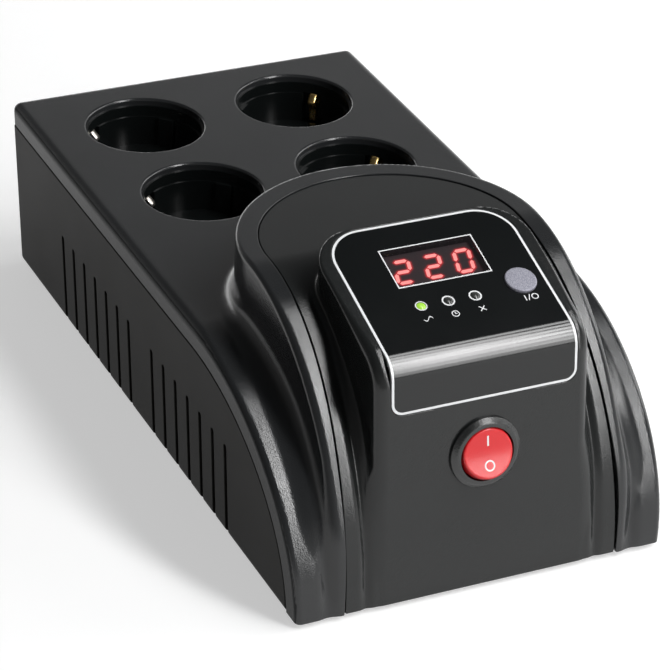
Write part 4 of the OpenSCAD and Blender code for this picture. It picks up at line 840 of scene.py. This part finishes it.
LABEL_GAP, LABEL_ROLL, LABEL_SINK = 0.22, 0.18, 0.8
SWITCH_Y = FRONT_Y + SWITCH_Z * math.tan(FRONT_LEAN)
SWITCH_HOLE_R = 10.5


def label_cut(x, y, z):
    """Positive outside the label's sunk place."""
    near = (z > 50) & (under_skin(y, z) < 2)
    return np.where(near, label_edge(x, y, z) - LABEL_GAP - LABEL_ROLL, FAR)


def switch_cut(x, y, z):
    """Positive outside the hole round the switch's axis."""
    up = (y - SWITCH_Y) * math.sin(FRONT_LEAN) + (z - SWITCH_Z) * math.cos(FRONT_LEAN)
    return np.where(y < -90, np.hypot(x, up) - SWITCH_HOLE_R, FAR)


cuts = [
    lambda x, y, z: -panel_edge(x, y, z) - HALF_GAP - PANEL_ROLL,
    lambda x, y, z: z - FOOT_Z,
    label_cut,
    switch_cut,
]
panel = trimmed(panel_solid, (-52, -127.5, -2), (52, -6, 101), 0.8, cuts)
seam_edge(panel, panel_solid, cuts[0], u_curve(-HALF_GAP - PANEL_ROLL), PANEL_ROLL, RIM_WALL)
skin_edge(panel, label_loop(LABEL_GAP + LABEL_ROLL, 1.0), LABEL_ROLL, LABEL_SINK, -1)
panel.build("front_panel_shell", "panel_plastic", stands_for=["front_panel"])

# Label with its print, window, lamps and button

WINDOW_HALF, WINDOW_L, WINDOW_DROP = 15.6, 15.8, 12.0
WINDOW_BACK, WINDOW_FRONT = down_console(WINDOW_DROP), down_console(WINDOW_DROP + WINDOW_L)
LAMP_X, LAMP_S, LAMP_R = (-12.2, -3.0, 6.2), down_console(36.6), 1.5
BUTTON_X, BUTTON_S, BUTTON_R = 22.9, down_console(34.2), 5.15
BORDER_W, FRAME_W, RING_R = 0.85, 0.42, (1.95, 2.1, 2.1)
LABEL_EASE, LABEL_WALL, LAMP_GAP, BUTTON_GAP = 0.12, 1.3, 0.1, 0.15

outline, inner = label_loop(-LABEL_EASE), label_loop(-BORDER_W)
window_hole = box_loop(-WINDOW_HALF, WINDOW_HALF, WINDOW_BACK, WINDOW_FRONT)
frame_half = WINDOW_HALF + FRAME_W
window_frame = box_loop(-frame_half, frame_half, WINDOW_BACK - FRAME_W, WINDOW_FRONT + FRAME_W)
lamp_holes = [circle(x, LAMP_S, LAMP_R + LAMP_GAP) for x in LAMP_X]
button_hole = circle(BUTTON_X, BUTTON_S, BUTTON_R + BUTTON_GAP, 72)

# A wave, a clock and a cross as signs of the lamps, and I and O beside the button
WAVE_X, CLOCK_X, CROSS_X = LAMP_X
SIGN_S = LAMP_S + 5.6
POWER_X, POWER_S = 23.6, BUTTON_S + 7.2
WAVE_HALF, WAVE_H, WAVE_T, CROSS_HALF = 1.6, 0.75, 0.2, 0.95
STROKE_W, SLASH_W, HAND_W = 0.34, 0.30, 0.28
wave_x = np.linspace(-WAVE_HALF, WAVE_HALF, 25)
wave_s = SIGN_S - WAVE_H * np.sin(wave_x / WAVE_HALF * math.pi)
wave = [(WAVE_X + x, s - WAVE_T) for x, s in zip(wave_x, wave_s)]
wave += [(WAVE_X + x, s + WAVE_T) for x, s in zip(wave_x[::-1], wave_s[::-1])]
cross_x0, cross_x1, cross_s0, cross_s1 = [
    middle + way * CROSS_HALF for middle in (CROSS_X, SIGN_S) for way in (-1, 1)]
prints = [
    [outline, inner],
    [window_frame, window_hole],
    *[[circle(x, LAMP_S, r), hole] for x, r, hole in zip(LAMP_X, RING_R, lamp_holes)],
    [wave],
    [circle(CLOCK_X, SIGN_S, 1.3, 24), circle(CLOCK_X, SIGN_S, 0.98, 24)],
    [bar(CLOCK_X, SIGN_S + 0.1, CLOCK_X, SIGN_S - 0.8, HAND_W)],
    [bar(CLOCK_X, SIGN_S, CLOCK_X + 0.62, SIGN_S, HAND_W)],
    [bar(cross_x0, cross_s0, cross_x1, cross_s1, STROKE_W)],
    [bar(cross_x0, cross_s1, cross_x1, cross_s0, STROKE_W)],
    [bar(POWER_X - 2.3, POWER_S - 1.1, POWER_X - 2.3, POWER_S + 1.1, STROKE_W)],
    [bar(POWER_X - 1.5, POWER_S + 1.2, POWER_X - 0.5, POWER_S - 1.2, SLASH_W)],
    [circle(POWER_X + 1.0, POWER_S, 1.2, 28), circle(POWER_X + 1.0, POWER_S, 0.86, 28)],
]
bend_rows = [((-LABEL_HALF, s), (LABEL_HALF, s)) for s in np.linspace(-BEND_HALF, BEND_HALF, 13)]
flat, tris = tiled([loop for group in prints for loop in group] + [button_hole], bend_rows)
centres = flat[tris].mean(1)
on_label = within([outline], centres)
for hole in [window_hole, *lamp_holes, button_hole]:
    on_label &= ~within([hole], centres)
printed = np.zeros(len(tris), bool)
for group in prints:
    printed |= within(group, centres)


def label_edges(mesh):
    skin_edge(mesh, window_hole, 0.02, LABEL_WALL, -1)
    for hole in lamp_holes + [button_hole]:
        skin_edge(mesh, hole, 0.08, LABEL_WALL, -1)


skin_piece("fascia_label_face", "label_gloss", flat, tris[on_label & ~printed], label_edges,
           stands_for=["fascia_label"])
skin_piece("fascia_label_print", "label_gloss", flat, tris[on_label & printed],
           lambda mesh: skin_edge(mesh, outline, LABEL_EASE, 0.4, 1), material=ink)

LENS_GAP, LENS_EASE, LENS_CORNER, LENS_SUNK = 0.1, 0.12, 0.25, 0.05
lens_edge = LENS_GAP + LENS_EASE
lens_loop = rounded_loop(WINDOW_HALF - lens_edge, WINDOW_BACK + lens_edge, WINDOW_FRONT - lens_edge,
                         LENS_CORNER, LENS_CORNER, 3)
flat, tris = tiled([lens_loop])
skin_piece("display_window", "lens_red", flat, tris[within([lens_loop], flat[tris].mean(1))],
           lambda mesh: skin_edge(mesh, lens_loop, LENS_EASE, 0.9, 1, LENS_SUNK),
           LENS_SUNK, stands_for=["display_lens"])

# Module behind the window, with the digits' light on it
MODULE_HALF, MODULE_TOP, MODULE_MARGIN = 15.05, 2.36, 0.55
GLOW_NEAR, GLOW_FAR, FAR_SHARE = 0.42, 2.0, 0.03
glow_x, glow_s = np.meshgrid(
    np.linspace(-MODULE_HALF, MODULE_HALF, 150),
    np.linspace(WINDOW_BACK + MODULE_MARGIN, WINDOW_FRONT - MODULE_MARGIN, 76))
plate = Mesh()
plate.rows(*on_console(glow_x, glow_s, MODULE_TOP))
glow_plate = plate.build("display_glow", "module_black", halo("display_halo"))
strokes = frame["nodes"]["display_segments"].data
corners = [v.co for v in strokes.vertices]
nearest = BVHTree.FromPolygons(corners, [tuple(p.vertices) for p in strokes.polygons])
reach = [nearest.find_nearest(v.co)[3] / MM for v in glow_plate.data.vertices]
glow = [math.exp(-(d / GLOW_NEAR) ** 2) + FAR_SHARE * math.exp(-d / GLOW_FAR) for d in reach]
glow_plate.data.attributes.new("glow", "FLOAT", "POINT").data.foreach_set("value", glow)

# Lamps' lenses and the button's cap: corners' radius and height, then the easing of each corner
c, s = math.cos(TILT), math.sin(TILT)
TOP_AXES = np.array([[1, 0, 0], [0, c, s], [0, -s, c]])
lens_line = eased(
    [(0, 0.28), (0.9, 0.2), (LAMP_R, -0.08), (LAMP_R, -7.2), (1.9, -7.2), (1.9, -8.2), (0, -8.2)],
    [0, 1.2, 0.2, 0, 0, 0, 0])
LAMPS = (("working_lamp", "lamp_green"), ("delay_lamp", "lamp_clear"), ("fault_lamp", "lamp_clear"))
for x, (node, slot) in zip(LAMP_X, LAMPS):
    lens = Mesh()
    turned(lens, *lens_line, on_console(x, LAMP_S)[0], TOP_AXES, 48)
    lens.build(node + "_lens", slot, stands_for=[node])

button = Mesh()
cap_line = eased(
    [(0, 0.9), (BUTTON_R, 0.82), (BUTTON_R, -2.5), (6.2, -2.6), (6.2, -3.4),
     (1.7, -3.4), (1.7, -6.3), (0, -6.3)],
    [0, 0.45, 0, 0, 0, 0, 0, 0])
turned(button, *cap_line, on_console(BUTTON_X, BUTTON_S)[0], TOP_AXES)
button.build("push_button_cap", "button_grey", body="button", stands_for=["push_button"])

# Mains switch: bezel and rocker

c, s = math.cos(FRONT_LEAN), math.sin(FRONT_LEAN)
FRONT_AXES = np.array([[1, 0, 0], [0, s, c], [0, -c, s]])
SWITCH_AT = np.array([0, SWITCH_Y, SWITCH_Z])
SWITCH_R, FLANGE_T, WELL_R, BARREL_R, SWITCH_DEPTH = 11.9, 2.2, 8.95, 9.9, 16.0
bezel = Mesh()
line, normals = eased(
    [(0, 2 - SWITCH_DEPTH), (WELL_R, 2 - SWITCH_DEPTH), (WELL_R, FLANGE_T), (SWITCH_R - 1.6, FLANGE_T),
     (SWITCH_R, 0.9), (SWITCH_R, 0), (BARREL_R, 0), (BARREL_R, -SWITCH_DEPTH), (0, -SWITCH_DEPTH)],
    [0, 0.5, 0.25, 1.2, 0.5, 0, 0, 0.5, 0], 6)
turned(bezel, line, normals, SWITCH_AT, FRONT_AXES, 128)
bezel.build("switch_bezel", "switch_black", stands_for=["switch_housing"])

ROCKER_R, ROCKER_TILT, ROCKER_SLOPE, CREASE = 8.7, math.radians(12), 1.8 / 8.7, 3.5
ROCKER_MID, ROCKER_EASE, ROCKER_FOOT = 2.0, 0.45, 4.9
MARK_X, MARK_LIFT = 3, 0.03


def rocker_face(v):
    return ROCKER_MID + ROCKER_SLOPE * np.sqrt(v * v + CREASE * CREASE)


def rocker_solid(u, v, n):
    ball = np.sqrt(u * u + v * v + n * n) - ROCKER_R
    face = (n - rocker_face(v)) * math.cos(math.atan(ROCKER_SLOPE))
    return round_both(ball, face, ROCKER_EASE)


def on_rocker(points, normals):
    """Points in the rocker's own frame, as points in the housing's frame with the upper half pressed."""
    c, s = math.cos(ROCKER_TILT), math.sin(ROCKER_TILT)
    across, up, out = FRONT_AXES
    axes = np.array([across, c * up - s * out, s * up + c * out])
    return points @ axes + SWITCH_AT, normals @ axes


points, tris = surface(rocker_solid, (-9.2, -9.2, -6.0), (9.2, 9.2, 5.0), 0.3)
points, tris = trim(points, tris, rocker_solid, lambda u, v, n: n + ROCKER_FOOT)
at, normals = on_rocker(points, gradient(rocker_solid, points))
rocker = Mesh()
rocker.add(at, tris, normals)
rocker.build("rocker_paddle", "rocker_red", body="rocker", stands_for=["switch_rocker"])

marks = Mesh()
for loops in ([bar(0, 2.4, 0, 5.7, 0.6)], [circle(0, -3.9, 1.75), circle(0, -3.9, 1.25)]):
    rows_v = [((-MARK_X, v), (MARK_X, v)) for v in np.arange(-6.4, 6.5, 0.5)]
    flat, tris = tiled(loops, rows_v)
    used, tris = compact(tris[within(loops, flat[tris].mean(1))])
    u, v = flat[used].T
    local = np.stack([u, v, rocker_face(v) + MARK_LIFT], 1)
    at, normals = on_rocker(local, gradient(rocker_solid, local))
    marks.add(at, facing(at, tris, normals), normals)
marks.build("rocker_marks", "rocker_red", ink, "rocker")

# Tray: side walls with their slots, rear wall and underside

SLOT_R, SLOT_TOP, SLOT_PITCH, SLOT_MIDDLE = 1.0, 33.7, 10.35, 3.1
SLOT_PLACES = [SLOT_MIDDLE + sign * i * SLOT_PITCH for sign in (-1, 1) for i in range(1, 8)]
SLOT_BEND_Z = SLOT_TOP - SLOT_R
INLET_X, INLET_Z, INLET_HALF, INLET_HALF_H = -30.0, 24.0, 13.6, 10.1
SLOT_EASE = 0.3
FRONT_POST, SIDE_POSTS = (30, FRONT_Y + 13.5), [(55.6, BACK_Y - 10.5), (55.6, SHOULDER_Y + 31)]
POST_PLACES = [(sx * x, y) for sx in (-1, 1) for x, y in SIDE_POSTS + [FRONT_POST]]
WELL, SIDE_WELL_DEPTH, FRONT_WELL_DEPTH = 3.3, 22.0, 8.0
CORE_Y = FRONT_Y + 64
BASE_SLOTS = [(i - 2.5) * SLOT_PITCH for i in range(6)]
BASE_SLOT_R, BASE_SLOT_HALF, BASE_SLOT_DEPTH = 1, 14, 2.2
FLOOR_HALF_W, NOSE_Y, NOSE_BACK = 60.5, FRONT_Y + 4.3, -100


def tray_solid(x, y, z):
    walls = round_both(side(x, z), y - BACK_Y, CORNER_EASE)
    return round_both(walls, -z, TRAY_EASE)


def slots_cut(x, y, z):
    """Positive outside the side walls' round-topped slots."""
    aside = np.min([np.abs(y - middle) for middle in SLOT_PLACES], 0)
    reach = np.where(z > SLOT_BEND_Z, np.hypot(aside, z - SLOT_BEND_Z), aside) - SLOT_R
    return np.where(np.abs(x) > 50, reach - SLOT_EASE, FAR)


def under_cut(x, y, z):
    """Positive outside the screw wells and slots in the underside."""
    wells = np.min([np.hypot(x - px, y - py) for px, py in POST_PLACES], 0) - WELL
    past_y = np.maximum(np.abs(y - CORE_Y) - BASE_SLOT_HALF, 0)
    slots = np.min([np.hypot(x - middle, past_y) for middle in BASE_SLOTS], 0) - BASE_SLOT_R
    return np.where(z < 1, np.minimum(wells, slots) - SLOT_EASE, FAR)


def inlet_cut(x, y, z):
    hole = np.maximum(np.abs(x - INLET_X) - INLET_HALF, np.abs(z - INLET_Z) - INLET_HALF_H)
    return np.where(y > 100, hole, FAR)


cuts = [
    lambda x, y, z: -seam_cut(y, z, 0.0) - ROLL,
    slots_cut,
    under_cut,
    inlet_cut,
]
tray = trimmed(tray_solid, (-70, -119, -2), (70, 128, 60), 1.0, cuts)
slot_half = SLOT_R + SLOT_EASE
rise = np.linspace(0.2, SLOT_BEND_Z, 24)
arc = np.linspace(math.pi, 0, 13)
slot_y = np.concatenate([0 * rise - slot_half, slot_half * np.cos(arc), 0 * rise + slot_half])
slot_z = np.concatenate([rise, SLOT_BEND_Z + slot_half * np.sin(arc), rise[::-1]])
for sign in (-1, 1):
    seam_edge(tray, tray_solid, cuts[0], seam_line(sign, -ROLL), ROLL, SEAM_WALL)
    for middle in SLOT_PLACES:
        line = np.stack([sign * (BASE_HALF + LEAN * slot_z), slot_y + middle, slot_z], 1)
        seam_edge(tray, tray_solid, slots_cut, line, SLOT_EASE, WALL - SLOT_EASE)
seam_edge(tray, tray_solid, cuts[0], rear_line(-ROLL), ROLL, SEAM_WALL)
for px, py in POST_PLACES:
    depth = FRONT_WELL_DEPTH if py == FRONT_POST[1] else SIDE_WELL_DEPTH
    rolled_mouth(tray, (px, py, 0), WELL + SLOT_EASE, -UP, SLOT_EASE, depth)
for middle in BASE_SLOTS:
    rolled_mouth(tray, (middle, CORE_Y, 0), BASE_SLOT_R + SLOT_EASE, -UP, SLOT_EASE, BASE_SLOT_DEPTH,
                 half=BASE_SLOT_HALF)
# The floor's nose under the cover, then the floor's upper face
for z, facing_z in ((0, -1), (WALL, 1)):
    nose = [[(sx * FLOOR_HALF_W, y, z) for y in (NOSE_Y, NOSE_BACK)] for sx in (-1, 1)]
    tray.rows(nose, (0, 0, facing_z))
nose = [[(sx * FLOOR_HALF_W, NOSE_Y, z) for z in (0, WALL)] for sx in (-1, 1)]
tray.rows(nose, (0, -1, 0))
floor_top = [[(sx * FLOOR_HALF_W, y, WALL) for y in (NOSE_BACK, BACK_Y - WALL)] for sx in (-1, 1)]
tray.rows(floor_top, (0, 0, 1))
tray.build("bottom_tray_shell", "tray_plastic", stands_for=["bottom_tray"])

# Earth clips, narrow sprung straps with a rounded contact

CLIP_W, CLIP_T, CLIP_BOW, CLIP_RISE = 3.2, 0.7, 2.4, 2.4
CLIP_LOW, CLIP_TOP = RECESS_FLOOR + 0.3, DECK_H - WALL - 4.0


def clip_radius(z):
    middle = (CLIP_LOW + CLIP_TOP) / 2 + CLIP_RISE
    return RECESS_R + 0.35 - CLIP_BOW * np.exp(-((z - middle) / 1.9) ** 2)


for number, ((ox, oy), turn) in enumerate(zip(OUTLETS, TURNS)):
    clip = Mesh()
    for end in (0, 180):
        a = math.radians(turn + 90 + end)
        out = np.array([math.cos(a), math.sin(a), 0])
        across = np.array([-math.sin(a), math.cos(a), 0])
        zs = np.linspace(CLIP_LOW, CLIP_TOP, 40)
        r = clip_radius(zs)
        slope = np.gradient(r, zs)
        inward = unit_rows(np.stack([-np.ones_like(zs), slope], 1))
        rows, row_normals = [], []
        for k in range(25):
            turn_by = math.pi * 2 * k / 24
            w, t = math.cos(turn_by), math.sin(turn_by)
            w = math.copysign(abs(w) ** 0.5, w) * CLIP_W / 2
            t = math.copysign(abs(t) ** 0.5, t) * CLIP_T / 2
            radial = (r + CLIP_T / 2 + t * inward[:, 0])[:, None] * out
            lift = (zs + t * inward[:, 1])[:, None] * UP
            rows.append(np.array([ox, oy, 0]) + radial + w * across + lift)
            n = inward[:, :1] * out + inward[:, 1:] * UP
            row_normals.append(n * math.sin(turn_by) + math.cos(turn_by) * across)
        clip.rows(rows, row_normals)
    # Left clips take the whitish copy, a painted highlight; right clips show the brass itself
    clip.build(f"earth_clip_strap_{number + 1}", "brass", left_clip_painted_glint if ox < 0 else gilt,
               stands_for=[f"earth_clip_{number + 1}"])

# Camera, lights and floor

scene = bpy.context.scene
camera = bpy.data.objects.new("camera", bpy.data.cameras.new("camera"))
camera.data.sensor_width = 36
camera.data.lens = 172.03
camera.data.clip_start, camera.data.clip_end = 0.05, 20
back = Vector((-0.37679, -0.77733, 0.50377))
right = Vector((0.90897, -0.41501, 0.03949))
up = Vector((0.17837, 0.47279, 0.86294))
spot = Vector((-0.40455, -0.84965, 0.57024))
camera.matrix_world = Matrix([*zip(right, up, back, spot), (0, 0, 0, 1)])
scene.collection.objects.link(camera)
scene.camera = camera


def softbox(name, direction, distance, size, power):
    """Area light at a distance in a direction from the object's middle, turned to face it."""
    light = bpy.data.objects.new(name, bpy.data.lights.new(name, "AREA"))
    light.data.shape = "RECTANGLE"
    light.data.size, light.data.size_y = size
    light.data.energy = power
    away = Vector(direction).normalized()
    light.location = away * distance + Vector((0, 0, 0.05))
    light.rotation_euler = away.to_track_quat("Z", "Y").to_euler()
    scene.collection.objects.link(light)


# Tall softbox bent into an arc, in pieces: angle above the front and power in watts
ARC = ((93, 1.9), (79, 2.6), (65, 3.6), (51, 4.6), (37, 3.7), (23, 2.4), (10, 1.1))
ARC_LEFT = 0.377
ARC_REACH = math.sqrt(1 - ARC_LEFT ** 2)
for angle, power in ARC:
    a = math.radians(angle)
    toward = (ARC_LEFT, -ARC_REACH * math.cos(a), ARC_REACH * math.sin(a))
    softbox(f"key_light_{angle}", toward, 1.4, (0.21, 0.325), power)
softbox("side_light", (0.95, 0.12, 0.30), 1.5, (1.0, 0.5), 4.5)
softbox("high_light", (0.80, -0.17, 0.58), 1.5, (0.3, 0.7), 3.5)
softbox("back_light", (0.05, 0.98, 0.13), 1.6, (1.3, 0.16), 2.5)

# The world is brightest near the ground and to the right
world = bpy.data.worlds.new("world")
world.use_nodes = True
scene.world = world
tree = world.node_tree
coords = add_node(tree, "TexCoord").outputs["Generated"]
split = add_node(tree, "SeparateXYZ", sources={"Vector": coords})
SKY = [
    (0.0, (0.9, 0.9, 0.9)),
    (0.34, (0.6, 0.6, 0.6)),
    (0.56, (0.13, 0.13, 0.13)),
    (1.0, (0.08, 0.085, 0.09)),
]
height = add_ramp(tree, split.outputs["Z"], SKY)
strengths = {"From Min": -1, "To Min": 0.15, "To Max": 1.15}
across = add_node(tree, "MapRange", strengths, {"Value": split.outputs["X"]})
background = tree.nodes["Background"]
tree.links.new(height, background.inputs["Color"])
tree.links.new(across.outputs["Result"], background.inputs["Strength"])

# The floor is white to the camera and in gloss and glass, and keeps the object's shadow
FLOOR_HALF, FLOOR_SHADE, FLOOR_LIFT = 4, 0.62, 0.5
pale = Look("floor", {"Base Color": (FLOOR_SHADE, FLOOR_SHADE, FLOOR_SHADE, 1), "Roughness": 0.9,
                      "Specular IOR Level": 0.1, "Emission Color": (1, 1, 1, 1)})
path = add_node(pale.tree, "LightPath")
seen = path.outputs["Is Camera Ray"]
for kind in ("Is Glossy Ray", "Is Transmission Ray"):
    either = add_node(pale.tree, "Math", sources={0: seen, 1: path.outputs[kind]}, operation="MAXIMUM")
    seen = either.outputs["Value"]
lift = add_node(pale.tree, "Math", {1: FLOOR_LIFT}, {0: seen}, operation="MULTIPLY")
pale.feed(lift.outputs["Value"], "Emission Strength")
floor_mesh = bpy.data.meshes.new("floor")
corners = [(x * FLOOR_HALF, y * FLOOR_HALF, 0) for x, y in ((-1, -1), (1, -1), (1, 1), (-1, 1))]
floor_mesh.from_pydata(corners, [], [(0, 1, 2, 3)])
floor_mesh.materials.append(pale.material)
floor = bpy.data.objects.new("floor", floor_mesh)
scene.collection.objects.link(floor)
scene.view_settings.view_transform = "Standard"
